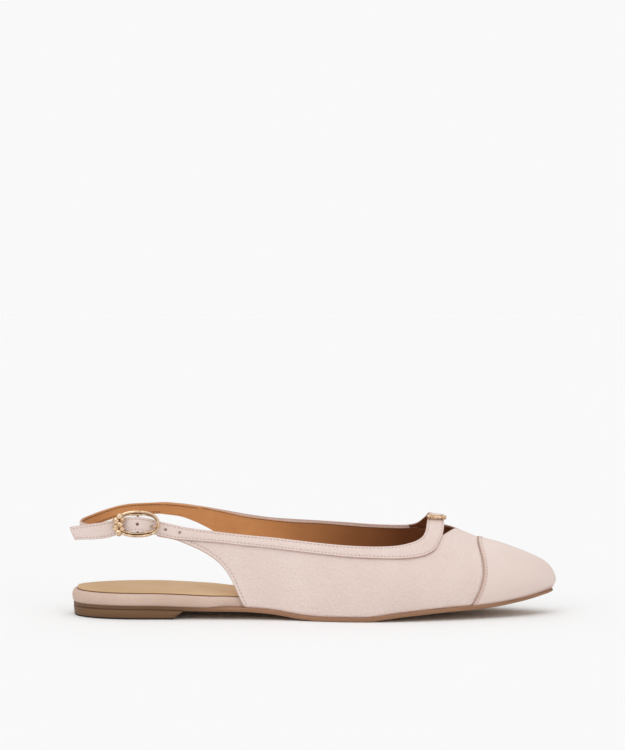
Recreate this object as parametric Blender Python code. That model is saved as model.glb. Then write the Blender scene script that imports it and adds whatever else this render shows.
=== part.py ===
"""Sling back flat with a pointed toe, right shoe, at its real size.

The last is a family of ribs that rise from the sole's outline to the crest.
Upper, toe cap and straps are all cut from that one family.
Millimetres are used in the tables; "station" is the distance from the heel's rear.
+X is the toe, -Y the outer (lateral) side, +Z up, the floor is at z = 0.
"""

import math

import bmesh
import bpy
from mathutils import Vector

MM = 0.001

# Driving dimensions
HEEL_REAR = 0.5
SOLE_TIP = 263.4
HEEL_ROUND = 40.0
HEEL_FULLNESS = 2.2
TOE_START = 165.0
TOE_POWER = 1.6
TOE_TAPER = 0.73
TOE_DRAW = 1.0
TOE_SWING = 2.0
CENTRE_STATION = 132.4
SOLE_THICKNESS = 2.4
SOLE_TIP_THICKNESS = 1.7
HEEL_BLOCK_END = 62.0
HEEL_BREAST_SLANT = 6.0
GAP = 0.3
OUTLINE_STEPS = (8, 14, 14)
TOE_STEP_POWER = 1.45
OUTSOLE_EDGE = 0.7
OUTSOLE_TOP_EDGE = 0.5
HEEL_EDGE_ROWS = ((0.0, 0.9), (0.5, 0.5), (4.9, 0.0))
HEEL_STEPS = 8

# Upper
FEATHER_INSET = 1.0
WALL = 1.6
CAP_STEP = 0.8
CAP_INNER = 0.5
CAP_OUTER = -0.45
CAP_LAP = 0.4
NOTCH_TIP = 210.0
THROAT_START = 190.0
FAN_START = 190.0
TOE_BOX_FULLNESS = 6.5
TOE_BOX_POWER = 7
SWELL_TO_UNIT = 6.75
RIB_STEPS = 9
REAR_FEET = (47.5, 52, 57, 62, 67, 72, 76.5, 80, 83, 85.5, 87.5, 89.2, 90.7, 92.1, 93.4, 94.6)
FRONT_FEET = (184.0, 188.0, 191.5, 195.0, 198.0, 200.5, 202.8)
MIDDLE_FEET = 13
CAP_FEET = 13
CAP_FOOT_POWER = 1.5

# Straps
STRAP_THICKNESS = 1.4
BAND_INNER = 0.3
BAND_OUTER = 1.3
HOLE_RADIUS = 1.0
HOLE_DEPTH = 6.0
HOLE_STATIONS = (37.0, 44.6, 52.0, 59.6)
QUARTER_REAR = 47.5
LATERAL_STRAP_SPACING = 4.0
MEDIAL_STRAP_SPACING = 5.0
SLING_ROUNDNESS = 0.92

# Buckle
BAR_STATION = 37.5
BAR_Y = -26.4
BAR_Z = 51.7
FRAME_HALF_LENGTH = 11.2
FRAME_HALF_HEIGHT = 6.5
FRAME_WIRE = 0.9
BAR_WIRE = 0.5
BAR_STRAIGHT = 3.6
PRONG_WIRE = 0.4
FRAME_LIFT = 2.9
EYE_RADIUS = 1.2
EYE_THICKNESS = 0.8
EYE_HALF_WIDTH = 2.9
EYE_SLOT = (4.2, 5.0, 1.5)
STRAP_BOW = 2.7
STRAP_BOW_REACH = 9.8
FRAME_SQUARENESS = 0.85
FRAME_CURL = 1.0
BEAD_LIFT = 0.6
INSTEP_BAR_RADIUS = 1.3
INSTEP_BAR_OVERHANG = 1.0
INSTEP_BAR_REAR_ROW = 1.6
INSTEP_BAR_FRONT_ROW = 2.4

# Beads on the frame's rear end, and the prong's rise through its hole: along, up, out
BEAD_COLUMNS = ("along", "up", "radius")
BEAD_ROWS = (
    (-9.4, 4.2, 1.7),
    (-11.4, 1.8, 1.9),
    (-9.4, -0.2, 1.8),
    (-11.6, -1.8, 1.7),
    (-10.0, -4.6, 1.9),
    (-8.0, 2.2, 1.4),
    (-8.1, -2.6, 1.4),
)
PRONG_COLUMNS = ("along", "up", "out")
PRONG_ROWS = (
    (1.6, 0.0, -0.9),
    (4.4, -0.8, -0.9),
    (6.0, -1.2, -0.8),
    (6.7, -1.4, -0.1),
    (7.1, -1.4, 0.6),
    (7.4, -1.4, 1.5),
    (8.1, -1.35, 3.2),
    (9.4, -1.2, 4.4),
    (11.2, -1.0, 4.6),
    (12.7, -1.0, 4.2),
)

# Half widths of the sole and heights along its length
SOLE_COLUMNS = ("station", "lateral", "medial", "underside", "bed")
SOLE_ROWS = (
    (0, 27.6, 26.8, 5.2, 14.3),
    (45, 27.4, 26.6, 5.2, 14.2),
    (58, 27.4, 26.0, 4.8, 13.8),
    (72, 27.5, 24.9, 4.4, 13.1),
    (92, 28.3, 22.9, 4.3, 12.1),
    (108, 30.0, 23.6, 3.4, 10.6),
    (118, 31.6, 25.2, 1.9, 9.4),
    (126, 33.4, 27.4, 0.7, 8.6),
    (138, 36.2, 31.4, 0.0, 7.6),
    (150, 38.2, 35.2, 0.0, 7.1),
    (158, 38.7, 37.4, 0.0, 7.1),
    (176, 38.9, 39.4, 2.1, 8.2),
    (200, 38.9, 39.6, 4.3, 10.2),
    (226, 38.9, 39.6, 5.8, 12.4),
    (244, 38.9, 39.6, 8.1, 14.6),
    (263.4, 38.9, 39.6, 11.9, 17.4),
)

# Rise of the footbed from its outer to its inner edge
CANT_COLUMNS = ("station", "cant")
CANT_ROWS = ((0, 0.9), (20, 1.2), (70, 1.2), (100, 0.7), (135, 0.0))

# Footbed and sock, ring by ring: inset, share of the height from sole to bed, and drop
FOOTBED_COLUMNS = ("inset", "share", "drop", "canted")
FOOTBED_RINGS = (
    (0.3, 0.0, 0.0, False),
    (-0.55, 0.3, 1.0, False),
    (-0.8, 0.62, 1.0, False),
    (0.0, 0.9, 0.4, True),
    (1.5, 1.0, 0.1, True),
    (2.5, 1.0, 0.4, True),
    (2.7, 1.0, 1.2, True),
)
SOCK_RINGS = (
    (3.1, 1.0, 0.9, True),
    (3.1, 1.0, 0.2, True),
    (3.9, 1.0, -0.2, True),
    (8.0, 1.0, -0.6, True),
)
FOOTBED_CLEARANCE = 0.45
FOOTBED_STATIONS = (75, 87, 205, 218, 263)

# The last above the sole: crest height, crest offset, roundness and side bulge
LAST_COLUMNS = ("station", "crest", "crest_y", "fullness", "bulge")
LAST_ROWS = (
    (40, 122.0, 3.0, 2.0, 0.8),
    (80, 110.0, 3.5, 2.0, 0.8),
    (110, 97.0, 4.5, 2.0, 0.8),
    (140, 82.0, 6.0, 2.05, 1.3),
    (165, 69.0, 7.0, 2.1, 1.8),
    (180, 61.0, 6.5, 2.1, 1.8),
    (196, 53.0, 4.5, 2.1, 1.7),
    (203, 49.9, 3.0, 2.1, 1.6),
    (209, 47.3, 2.0, 2.1, 1.6),
    (215, 44.8, 1.4, 2.1, 1.6),
    (221, 42.3, 1.0, 2.2, 1.6),
    (234, 38.6, 0.8, 2.3, 1.7),
    (245, 34.7, 1.2, 2.3, 1.9),
    (254.5, 31.0, 1.6, 2.3, 2.1),
    (266, 26.6, 2.0, 2.3, 2.5),
)

# Ribs lean and bow forward round the toe: foot station, crest station, bow
RIB_COLUMNS = ("foot", "crest", "bow")
RIB_ROWS = (
    (190.0, 190.0, 0.0),
    (204.0, 207.0, 2.4),
    (216.8, 222.6, 6.7),
    (236.0, 229.5, 3.6),
    (262.0, 236.0, 0.0),
)
SEAM_FOOT = 216.8

# Top edge of the upper and its rear edge, as heights
TOPLINE_COLUMNS = ("station", "lateral", "medial")
TOPLINE_ROWS = (
    (46, 52.2, 58.8),
    (64, 49.0, 57.8),
    (80, 46.9, 55.2),
    (94, 45.2, 52.2),
    (109, 44.0, 50.2),
    (122, 42.6, 48.8),
    (136, 41.2, 47.9),
    (150, 40.0, 46.4),
    (165, 39.3, 45.2),
    (178, 39.7, 44.9),
    (186, 41.0, 45.4),
    (192, 42.6, 47.9),
)
REAR_COLUMNS = ("station", "lateral", "medial")
REAR_ROWS = (
    (47, 45.2, 53.1),
    (57, 43.3, 51.9),
    (64, 40.6, 49.6),
    (71, 37.5, 46.4),
    (78, 33.2, 42.2),
    (82, 29.7, 38.4),
    (86, 24.6, 32.6),
    (89.5, 17.8, 23.4),
    (92, 11.6, 14.6),
    (94.6, 6.2, 6.2),
)

# Half opening of the throat each side of the crest, towards the notch's tip
THROAT_COLUMNS = ("station", "lateral", "medial")
THROAT_ROWS = (
    (189, 29.2, 21.8),
    (195, 25.2, 17.0),
    (199, 21.6, 13.2),
    (203, 16.6, 9.2),
    (206.5, 10.2, 5.2),
    (210, 0.0, 0.0),
)

# Topline bands: the strap's upper and lower edge on the last
BAND_COLUMNS = ("top_station", "top_z", "low_station", "low_z")
LATERAL_BAND_ROWS = (
    (50, 52.5, 50, 44.8),
    (57, 50.9, 57, 43.3),
    (64, 49.4, 64, 42.7),
    (80, 47.3, 80, 41.4),
    (94, 45.7, 94, 39.9),
    (109, 44.4, 109, 38.5),
    (122, 43.0, 122, 37.1),
    (136, 41.6, 136, 35.7),
    (150, 40.4, 150, 34.4),
    (164, 39.7, 164, 33.6),
    (175, 39.8, 177, 33.2),
    (182, 40.7, 186, 33.6),
    (187, 42.0, 192.5, 34.9),
    (190.4, 44.0, 197.2, 37.4),
)
MEDIAL_BAND_ROWS = (
    (47, 58.9, 47, 52.5),
    (56, 58.5, 56, 52.1),
    (64, 57.6, 64, 51.3),
    (76, 55.8, 76, 49.5),
    (94, 52.7, 94, 46.4),
    (108, 50.7, 108, 44.4),
    (122, 49.5, 122, 43.1),
    (137, 48.2, 137, 41.9),
    (151, 46.9, 151, 40.5),
    (165, 45.6, 166, 39.2),
    (177, 45.3, 180, 38.7),
    (184, 45.6, 188, 39.4),
    (188.5, 46.7, 193.5, 41.1),
    (190.8, 48.2, 197.5, 43.3),
)

# The strap over the instep, as shares of the last's half section, 0 at the crest.
# Its front edge stands off the last as it bridges the notch.
CROSSING_COLUMNS = ("rear_share", "rear_station", "rear_lift", "front_share", "front_station", "front_lift")
LATERAL_CROSSING_ROWS = (
    (0.57, 192.3, 0.0, 0.61, 200.6, 0.0),
    (0.44, 193.1, 0.1, 0.47, 202.2, 0.5),
    (0.30, 193.9, 0.3, 0.31, 202.8, 1.6),
    (0.15, 194.9, 0.5, 0.15, 202.7, 2.5),
    (0.0, 195.6, 0.6, 0.0, 202.6, 2.8),
)
MEDIAL_CROSSING_ROWS = (
    (0.46, 192.4, 0.0, 0.56, 200.4, 0.0),
    (0.38, 193.6, 0.2, 0.40, 202.0, 1.0),
    (0.20, 194.8, 0.5, 0.20, 202.5, 2.2),
    (0.012, 195.6, 0.6, 0.012, 202.6, 2.8),
)

# Free end of the lateral strap, through the buckle to its slanted tip
FREE_COLUMNS = ("top_station", "top_z", "low_station", "low_z", "y")
FREE_ROWS = (
    (0.3, 49.1, 3.2, 42.2, -19.0),
    (6.7, 50.4, 8.4, 42.7, -21.6),
    (13.6, 51.6, 14.8, 43.1, -24.0),
    (19.6, 52.6, 20.5, 43.9, -25.3),
    (26.0, 53.9, 26.2, 45.5, -26.1),
    (31.5, 55.1, 31.5, 47.1, -26.4),
    (37.5, 55.6, 37.5, 47.7, -26.4),
    (42.5, 54.7, 42.5, 46.9, -26.3),
)

# Sling round the heel: plan of its middle line and its edges
SLING_HALF_WIDTH = 23.8
SLING_CENTRE = 31.0
SLING_REAR = 4.6
SLING_COLUMNS = ("turn", "top_z", "width")
SLING_ROWS = (
    (0.0, 58.3, 6.4),
    (15.0, 57.2, 6.4),
    (30.0, 55.5, 6.5),
    (60.0, 52.6, 6.7),
    (90.0, 51.3, 6.8),
    (120.0, 50.6, 6.8),
    (150.0, 50.9, 6.8),
    (180.0, 53.6, 6.6),
)
SLING_STEPS = 24


def column(names, rows, name):
    """One column of a table, by its name."""
    index = names.index(name)
    return [float(row[index]) for row in rows]


def smooth_curve(names, rows, name):
    """A smooth curve through one column that never overshoots between two rows."""
    xs = column(names, rows, names[0])
    ys = column(names, rows, name)
    slopes = [(ys[i + 1] - ys[i]) / (xs[i + 1] - xs[i]) for i in range(len(xs) - 1)]
    tangents = [slopes[0]]
    for before, after in zip(slopes, slopes[1:]):
        same_way = before * after > 0
        tangents.append(2 * before * after / (before + after) if same_way else 0.0)
    tangents.append(slopes[-1])

    def value(x):
        if x <= xs[0]:
            return ys[0]
        if x >= xs[-1]:
            return ys[-1]
        i = max(k for k in range(len(xs) - 1) if xs[k] <= x)
        span = xs[i + 1] - xs[i]
        t = (x - xs[i]) / span
        start, end = tangents[i] * span, tangents[i + 1] * span
        return (ys[i] * (2 * t ** 3 - 3 * t ** 2 + 1) + start * (t ** 3 - 2 * t ** 2 + t)
                + ys[i + 1] * (3 * t ** 2 - 2 * t ** 3) + end * (t ** 3 - t ** 2))

    return value


HALF_WIDTH = {side: smooth_curve(SOLE_COLUMNS, SOLE_ROWS, side) for side in ("lateral", "medial")}
UNDERSIDE = smooth_curve(SOLE_COLUMNS, SOLE_ROWS, "underside")
BED = smooth_curve(SOLE_COLUMNS, SOLE_ROWS, "bed")
CANT = smooth_curve(CANT_COLUMNS, CANT_ROWS, "cant")
CREST = smooth_curve(LAST_COLUMNS, LAST_ROWS, "crest")
CREST_Y = smooth_curve(LAST_COLUMNS, LAST_ROWS, "crest_y")
FULLNESS = smooth_curve(LAST_COLUMNS, LAST_ROWS, "fullness")
BULGE = smooth_curve(LAST_COLUMNS, LAST_ROWS, "bulge")
RIB_CREST = smooth_curve(RIB_COLUMNS, RIB_ROWS, "crest")
RIB_BOW = smooth_curve(RIB_COLUMNS, RIB_ROWS, "bow")
TOPLINE = {s: smooth_curve(TOPLINE_COLUMNS, TOPLINE_ROWS, s) for s in ("lateral", "medial")}
REAR_EDGE = {s: smooth_curve(REAR_COLUMNS, REAR_ROWS, s) for s in ("lateral", "medial")}
THROAT = {s: smooth_curve(THROAT_COLUMNS, THROAT_ROWS, s) for s in ("lateral", "medial")}
SIDES = {"lateral": -1.0, "medial": 1.0}


def sole_top(station):
    """Height of the outsole's upper face."""
    share = max(0.0, (station - TOE_START) / (SOLE_TIP - TOE_START))
    return UNDERSIDE(station) + SOLE_THICKNESS + (SOLE_TIP_THICKNESS - SOLE_THICKNESS) * share ** 2


def feather(station):
    """Height at which the upper meets the outsole."""
    return sole_top(station) + GAP


def swing(station):
    """The toe's turn towards the inner side."""
    return TOE_SWING * max(0.0, (station - TOE_START) / (SOLE_TIP - TOE_START)) ** 2


def toe_length(inset):
    return SOLE_TIP - TOE_START - TOE_DRAW * inset


FEATHER_TIP = TOE_START + toe_length(FEATHER_INSET)


def half_width(side, station, inset):
    """Half width of the outline, drawn in by an inset."""
    width = HALF_WIDTH[side](station) - inset
    rear = HEEL_REAR + inset
    if station < rear + HEEL_ROUND:
        reach = min(1.0, max(0.0, (rear + HEEL_ROUND - station) / HEEL_ROUND))
        width *= (1 - reach ** HEEL_FULLNESS) ** (1 / HEEL_FULLNESS)
    if station > TOE_START:
        reach = min(1.0, (station - TOE_START) / toe_length(inset))
        width *= (1 - reach ** TOE_POWER) ** TOE_TAPER
    return width


def place(station, y, z):
    """A point in metres."""
    return Vector(((station - CENTRE_STATION) * MM, y * MM, z * MM))


def outline_stations(inset_rear, inset_tip, heel_steps, middle_steps, toe_steps):
    """Stations of the outline, closer together where it turns."""
    rear = HEEL_REAR + inset_rear
    stations = []
    for i in range(heel_steps):
        angle = math.pi / 2 * i / heel_steps
        stations.append(rear + HEEL_ROUND * (1 - math.cos(angle)))
    start = rear + HEEL_ROUND
    for i in range(middle_steps):
        stations.append(start + (TOE_START - start) * i / middle_steps)
    for i in range(toe_steps + 1):
        stations.append(TOE_START + toe_length(inset_tip) * toe_share(i / toe_steps))
    return stations


def toe_share(t):
    """Even steps along the toe's outline as shares of its length."""
    return 1 - (1 - t) ** TOE_STEP_POWER if t < 1 else 1.0


def ring(inset, height, steps, canted=False):
    """Points round the outline, outer side and inner side; canted rings rise to the inner side."""
    inset_of = inset if callable(inset) else (lambda station: inset)
    stations = outline_stations(inset_of(0), inset_of(SOLE_TIP), *steps)
    sides = {}
    for side, sign in SIDES.items():
        sides[side] = []
        for station in stations:
            if station < TOE_START:
                drawn = inset_of(station) if station > HEEL_REAR + inset_of(0) + HEEL_ROUND else inset_of(0)
            else:
                drawn = inset_of(SOLE_TIP)
            wide = half_width(side, station, drawn)
            rise = CANT(station) * (1 + sign * wide / HALF_WIDTH[side](station)) / 2 if canted else 0.0
            sides[side].append(place(station, sign * wide + swing(station), height(station) + rise))
    return sides["lateral"], sides["medial"]


def ring_solid(name, rings, material):
    """A closed solid from a stack of rings, bottom to top, with laddered ends."""
    work = bmesh.new()
    loops = []
    ladders = []
    for lateral, medial in rings:
        near = [work.verts.new(point) for point in lateral]
        far = [near[0]] + [work.verts.new(point) for point in medial[1:-1]] + [near[-1]]
        loops.append(near + far[-2:0:-1])
        ladders.append((near, far))
    for lower, upper in zip(loops, loops[1:]):
        count = len(lower)
        for i in range(count):
            k = (i + 1) % count
            work.faces.new((lower[i], lower[k], upper[k], upper[i]))
    for (near, far), flip in ((ladders[0], True), (ladders[-1], False)):
        for i in range(len(near) - 1):
            corners = []
            for vertex in (near[i], near[i + 1], far[i + 1], far[i]):
                if vertex not in corners:
                    corners.append(vertex)
            work.faces.new(corners[::-1] if flip else corners)
    return finish_mesh(name, work, material)


def material_of(name, colour, roughness, metallic=0.0):
    material = bpy.data.materials.new(name)
    material.use_nodes = True
    shader = material.node_tree.nodes["Principled BSDF"]
    shader.inputs["Base Color"].default_value = (*colour, 1.0)
    shader.inputs["Roughness"].default_value = roughness
    shader.inputs["Metallic"].default_value = metallic
    material.diffuse_color = (*colour, 1.0)
    return material


def link(name, mesh, material, collection):
    piece = bpy.data.objects.new(name, mesh)
    collection.objects.link(piece)
    if material:
        mesh.materials.append(material)
    return piece


def finish_mesh(name, work, material, sharp=35.0):
    """Turn a bmesh into a named object with smooth shading and outward faces."""
    bmesh.ops.recalc_face_normals(work, faces=work.faces)
    mesh = bpy.data.meshes.new(name)
    work.to_mesh(mesh)
    work.free()
    mesh.shade_smooth()
    mesh.set_sharp_from_angle(angle=math.radians(sharp))
    return link(name, mesh, material, PARTS)


# The last


def rib_point(side, foot, share, offset):
    """A point on the last: foot station of its rib and share of the section.

    The share is 1 at the feather line and 0 at the crest. A positive offset
    gives a smaller last inside this one, so that walls nest.
    """
    height_share = 0.0 if share >= 1 else (1 - share ** FULLNESS(foot)) ** (1 / FULLNESS(foot))
    if foot > FAN_START:
        foot = min(foot + RIB_BOW(foot) * 4 * height_share * (1 - height_share), FEATHER_TIP)
    inset = FEATHER_INSET + offset
    foot_x = foot
    if foot > TOE_START:
        foot_x = TOE_START + toe_length(inset) * (foot - TOE_START) / (FEATHER_TIP - TOE_START)
    crest_x = RIB_CREST(foot) if foot > FAN_START else foot
    foot_y = SIDES[side] * half_width(side, foot_x, inset) + swing(foot_x)
    ridge = CREST_Y(crest_x)
    toe = max(0.0, (foot - FAN_START) / (FEATHER_TIP - FAN_START))
    fullness = FULLNESS(foot_x)
    fullness += (TOE_BOX_FULLNESS - fullness) * toe ** TOE_BOX_POWER
    rise = 0.0 if share >= 1 else (1 - share ** fullness) ** (1 / fullness)
    swell = BULGE(foot_x) * SWELL_TO_UNIT * rise * (1 - rise) ** 2
    run = Vector((foot_x - crest_x, foot_y - ridge))
    outward = run.normalized()
    x = crest_x + run.x * share + outward.x * swell
    y = ridge + run.y * share + outward.y * swell
    base = feather(foot_x)
    z = base + (CREST(x) - offset - base) * rise
    return Vector((x, y, z))


def share_at_height(side, foot, height, offset):
    """The share of the section at which a rib reaches a height."""
    low, high = 0.0, 1.0
    for _ in range(40):
        middle = (low + high) / 2
        if rib_point(side, foot, middle, offset).z > height:
            low = middle
        else:
            high = middle
    return (low + high) / 2


def inside_opening(side, point):
    """True where the collar, throat or notch leaves the last bare."""
    if point.x < THROAT_START:
        return point.z > TOPLINE[side](point.x)
    if point.x >= NOTCH_TIP:
        return False
    return abs(point.y - CREST_Y(point.x)) < THROAT[side](point.x)


def rib_span(side, foot):
    """Shares of the section at the upper's lower and upper edge on one rib."""
    low_edge = 1.0
    if foot < REAR_ROWS[-1][0]:
        low_edge = share_at_height(side, foot, REAR_EDGE[side](foot), 0.0)
    if foot < THROAT_START:
        return low_edge, share_at_height(side, foot, TOPLINE[side](foot), 0.0)
    if RIB_CREST(foot) >= NOTCH_TIP - 0.01:
        return low_edge, 0.0
    low, high = 0.0, 0.95
    for _ in range(40):
        middle = (low + high) / 2
        if inside_opening(side, rib_point(side, foot, middle, 0.0)):
            low = middle
        else:
            high = middle
    return low_edge, (low + high) / 2


def rib_row(side, foot, offset, rows):
    """Points of one rib, evenly spaced from its lower to its upper edge."""
    low_edge, top_edge = rib_span(side, foot)
    fine = 48
    shares = []
    for i in range(fine + 1):
        t = i / fine
        angle_low = math.acos(min(1.0, low_edge))
        angle_top = math.acos(min(1.0, top_edge))
        shares.append(math.cos(angle_low + (angle_top - angle_low) * t))
    outer = [rib_point(side, foot, share, 0.0) for share in shares]
    lengths = [0.0]
    for a, b in zip(outer, outer[1:]):
        lengths.append(lengths[-1] + (b - a).length)
    points = []
    for j in range(rows + 1):
        target = lengths[-1] * j / rows
        k = min(fine - 1, max(i for i in range(fine + 1) if lengths[i] <= target + 1e-9))
        step = lengths[k + 1] - lengths[k]
        t = (target - lengths[k]) / step if step > 0 else 0.0
        share = shares[k] + (shares[k + 1] - shares[k]) * t
        points.append(rib_point(side, foot, share, offset))
    return points


def notch_foot():
    """Foot station of the rib that meets the crest at the notch's tip."""
    low, high = FAN_START, SEAM_FOOT
    for _ in range(40):
        middle = (low + high) / 2
        if RIB_CREST(middle) < NOTCH_TIP:
            low = middle
        else:
            high = middle
    return high


def upper_feet():
    """Foot stations of the upper's ribs, with the wall's offset at each."""
    feet = list(REAR_FEET)
    middle = FRONT_FEET[0] - REAR_FEET[-1]
    feet += [REAR_FEET[-1] + middle * i / MIDDLE_FEET for i in range(1, MIDDLE_FEET)]
    feet += FRONT_FEET
    tip = notch_foot()
    feet += [tip, (tip + SEAM_FOOT - CAP_LAP) / 2, SEAM_FOOT - 2 * CAP_LAP]
    ribs = [(foot, 0.0) for foot in feet]
    ribs += [(foot, CAP_STEP) for foot in [SEAM_FOOT - CAP_LAP] + cap_feet()[1:]]
    return ribs, feet.index(tip)


def cap_feet():
    """Foot stations of the toe cap's ribs, from the seam to the tip."""
    shares = [1 - (1 - i / CAP_FEET) ** CAP_FOOT_POWER for i in range(CAP_FEET + 1)]
    return [SEAM_FOOT + (FEATHER_TIP - SEAM_FOOT) * share for share in shares]


def last_shell(work, ribs, offset, rows, closed_from):
    """An open surface on the last, both sides, joined along the crest and the tip.

    closed_from is the first rib that reaches the crest.
    """
    grids = {}
    for side in ("lateral", "medial"):
        grids[side] = []
        for i, (foot, step) in enumerate(ribs):
            points = rib_row(side, foot, offset + step, rows)
            shared = side == "medial"
            line = []
            for j, point in enumerate(points):
                if shared and i == len(ribs) - 1:
                    line.append(grids["lateral"][i][j])
                elif shared and i >= closed_from and j == rows:
                    line.append(grids["lateral"][i][j])
                else:
                    line.append(work.verts.new(place(*point)))
            grids[side].append(line)
    for side, grid in grids.items():
        for before, after in zip(grid, grid[1:]):
            for j in range(rows):
                corners = (before[j], after[j], after[j + 1], before[j + 1])
                work.faces.new(corners if side == "lateral" else corners[::-1])
    return grids


def join_shells(work, outer_verts, inner_verts):
    """Close the open borders between two matching surfaces."""
    partner = dict(zip(outer_verts, inner_verts))
    borders = [edge for edge in work.edges if edge.is_boundary and edge.verts[0] in partner]
    for edge in borders:
        a, b = edge.verts
        work.faces.new((a, b, partner[b], partner[a]))


def shell_on_last(name, ribs, outer_offset, inner_offset, rows, closed_from, material):
    work = bmesh.new()
    last_shell(work, ribs, outer_offset, rows, closed_from)
    outer = list(work.verts)
    last_shell(work, ribs, inner_offset, rows, closed_from)
    work.verts.ensure_lookup_table()
    inner = list(work.verts)[len(outer):]
    join_shells(work, outer, inner)
    return finish_mesh(name, work, material)


# Straps


def ribbon_normals(rows):
    """Unit normals of a ribbon's reference rows, by finite differences."""
    normals = []
    for i, row in enumerate(rows):
        before = rows[max(0, i - 1)]
        after = rows[min(len(rows) - 1, i + 1)]
        line = []
        for j in range(len(row)):
            along = after[j] - before[j]
            across = row[min(len(row) - 1, j + 1)] - row[max(0, j - 1)]
            line.append(along.cross(across).normalized())
        normals.append(line)
    return normals


def ribbon_solid(name, rows, depths, material):
    """A strap: rows of points across it, and its inner and outer depth at each row."""
    normals = ribbon_normals(rows)
    work = bmesh.new()
    layers = []
    for layer in (0, 1):
        grid = []
        for i, row in enumerate(rows):
            line = []
            for j, point in enumerate(row):
                spot = point + normals[i][j] * depths[i][layer]
                line.append(work.verts.new(place(*spot)))
            grid.append(line)
        layers.append(grid)
    inner, outer = layers
    last_i, last_j = len(rows) - 1, len(rows[0]) - 1
    for grid in (inner, outer):
        for i in range(last_i):
            for j in range(last_j):
                work.faces.new((grid[i][j], grid[i + 1][j], grid[i + 1][j + 1], grid[i][j + 1]))
    for i in range(last_i):
        for j in (0, last_j):
            work.faces.new((inner[i][j], inner[i + 1][j], outer[i + 1][j], outer[i][j]))
    for j in range(last_j):
        for i in (0, last_i):
            work.faces.new((inner[i][j], inner[i][j + 1], outer[i][j + 1], outer[i][j]))
    return finish_mesh(name, work, material)


def even_rows(rows, spacing):
    """A smooth run of rows through the given ones, spaced along the strap."""
    middles = [sum((p for p in row), Vector((0, 0, 0))) / len(row) for row in rows]
    dense = []
    for i in range(len(rows) - 1):
        before, start, end, after = max(0, i - 1), i, i + 1, min(len(rows) - 1, i + 2)
        pieces = max(1, round((middles[end] - middles[start]).length / spacing))
        for k in range(pieces):
            t = k / pieces
            line = []
            for j in range(len(rows[0])):
                a, b, c, d = rows[before][j], rows[start][j], rows[end][j], rows[after][j]
                line.append(0.5 * (2 * b + (c - a) * t + (2 * a - 5 * b + 4 * c - d) * t ** 2
                                   + (3 * b - a - 3 * c + d) * t ** 3))
            dense.append(line)
    dense.append(rows[-1])
    return dense


def band_row(side, top, low):
    """Three points across a strap on the last, from top edge to lower edge."""
    (top_x, top_share), (low_x, low_share) = top, low
    across = []
    for t in (0.0, 0.5, 1.0):
        foot = top_x + (low_x - top_x) * t
        share = top_share + (low_share - top_share) * t
        across.append(rib_on_plane(side, foot, share))
    return across


def rib_on_plane(side, station, share):
    """The last's surface at a station, as if every rib stood upright there."""
    point = rib_point(side, min(station, FAN_START), share, 0.0)
    if station <= FAN_START:
        return point
    fullness = FULLNESS(station)
    rise = (1 - min(1.0, share) ** fullness) ** (1 / fullness)
    foot_y = SIDES[side] * half_width(side, station, FEATHER_INSET) + swing(station)
    ridge = CREST_Y(station)
    swell = BULGE(station) * SWELL_TO_UNIT * rise * (1 - rise) ** 2
    y = ridge + (foot_y - ridge) * share + SIDES[side] * swell
    base = feather(station)
    return Vector((station, y, base + (CREST(station) - base) * rise))


def share_on_plane(side, station, height):
    low, high = 0.0, 1.0
    for _ in range(40):
        middle = (low + high) / 2
        if rib_on_plane(side, station, middle).z > height:
            low = middle
        else:
            high = middle
    return (low + high) / 2


def band_rows(side, table):
    rows = []
    for values in table:
        cell = dict(zip(BAND_COLUMNS, values))
        edges = [(cell[f"{edge}_station"], cell[f"{edge}_z"]) for edge in ("top", "low")]
        rows.append(band_row(side, *[(x, share_on_plane(side, x, z)) for x, z in edges]))
    return rows


def crossing_rows(side, table):
    rows = []
    for values in table:
        cell = dict(zip(CROSSING_COLUMNS, values))
        rear, front = ((cell[f"{edge}_station"], cell[f"{edge}_share"]) for edge in ("rear", "front"))
        row = band_row(side, rear, front)
        for point, t in zip(row, (0.0, 0.5, 1.0)):
            point.z += cell["rear_lift"] + (cell["front_lift"] - cell["rear_lift"]) * t
        rows.append(row)
    return rows


def free_rows():
    """The lateral strap from its tip to the quarter, bowed out over the buckle's bar."""
    rows = []
    for values in FREE_ROWS:
        cell = dict(zip(FREE_COLUMNS, values))
        top, low = (Vector((cell[f"{edge}_station"], cell["y"], cell[f"{edge}_z"])) for edge in ("top", "low"))
        rows.append([top, (top + low) / 2, low])
    return rows


def bow_over_bar(rows):
    for row in rows:
        for point in row:
            away = (point.x - BAR_STATION) / STRAP_BOW_REACH
            if abs(away) < 1:
                point.y -= STRAP_BOW * math.cos(math.pi / 2 * away) ** 2
    return rows


def band_depths(rows):
    """Depths below and above the reference: on the last it lies outside the wall."""
    depths = []
    half = STRAP_THICKNESS / 2
    for row in rows:
        share = min(1.0, max(0.0, (row[1].x - QUARTER_REAR + 5.0) / 4.0))
        inner = -half + (BAND_INNER + half) * share
        outer = half + (BAND_OUTER - half) * share
        depths.append((inner, outer))
    return depths


def lateral_strap(material):
    """Buckle strap: tip, holes, topline band, and the instep strap to its middle."""
    rows = free_rows() + band_rows("lateral", LATERAL_BAND_ROWS)
    rows += crossing_rows("lateral", LATERAL_CROSSING_ROWS)
    rows = bow_over_bar(even_rows(rows, LATERAL_STRAP_SPACING))
    strap = ribbon_solid("lateral_strap", [row[::-1] for row in rows], band_depths(rows), material)
    for station in HOLE_STATIONS:
        cut_hole(strap, rows, station)
    return strap


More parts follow.
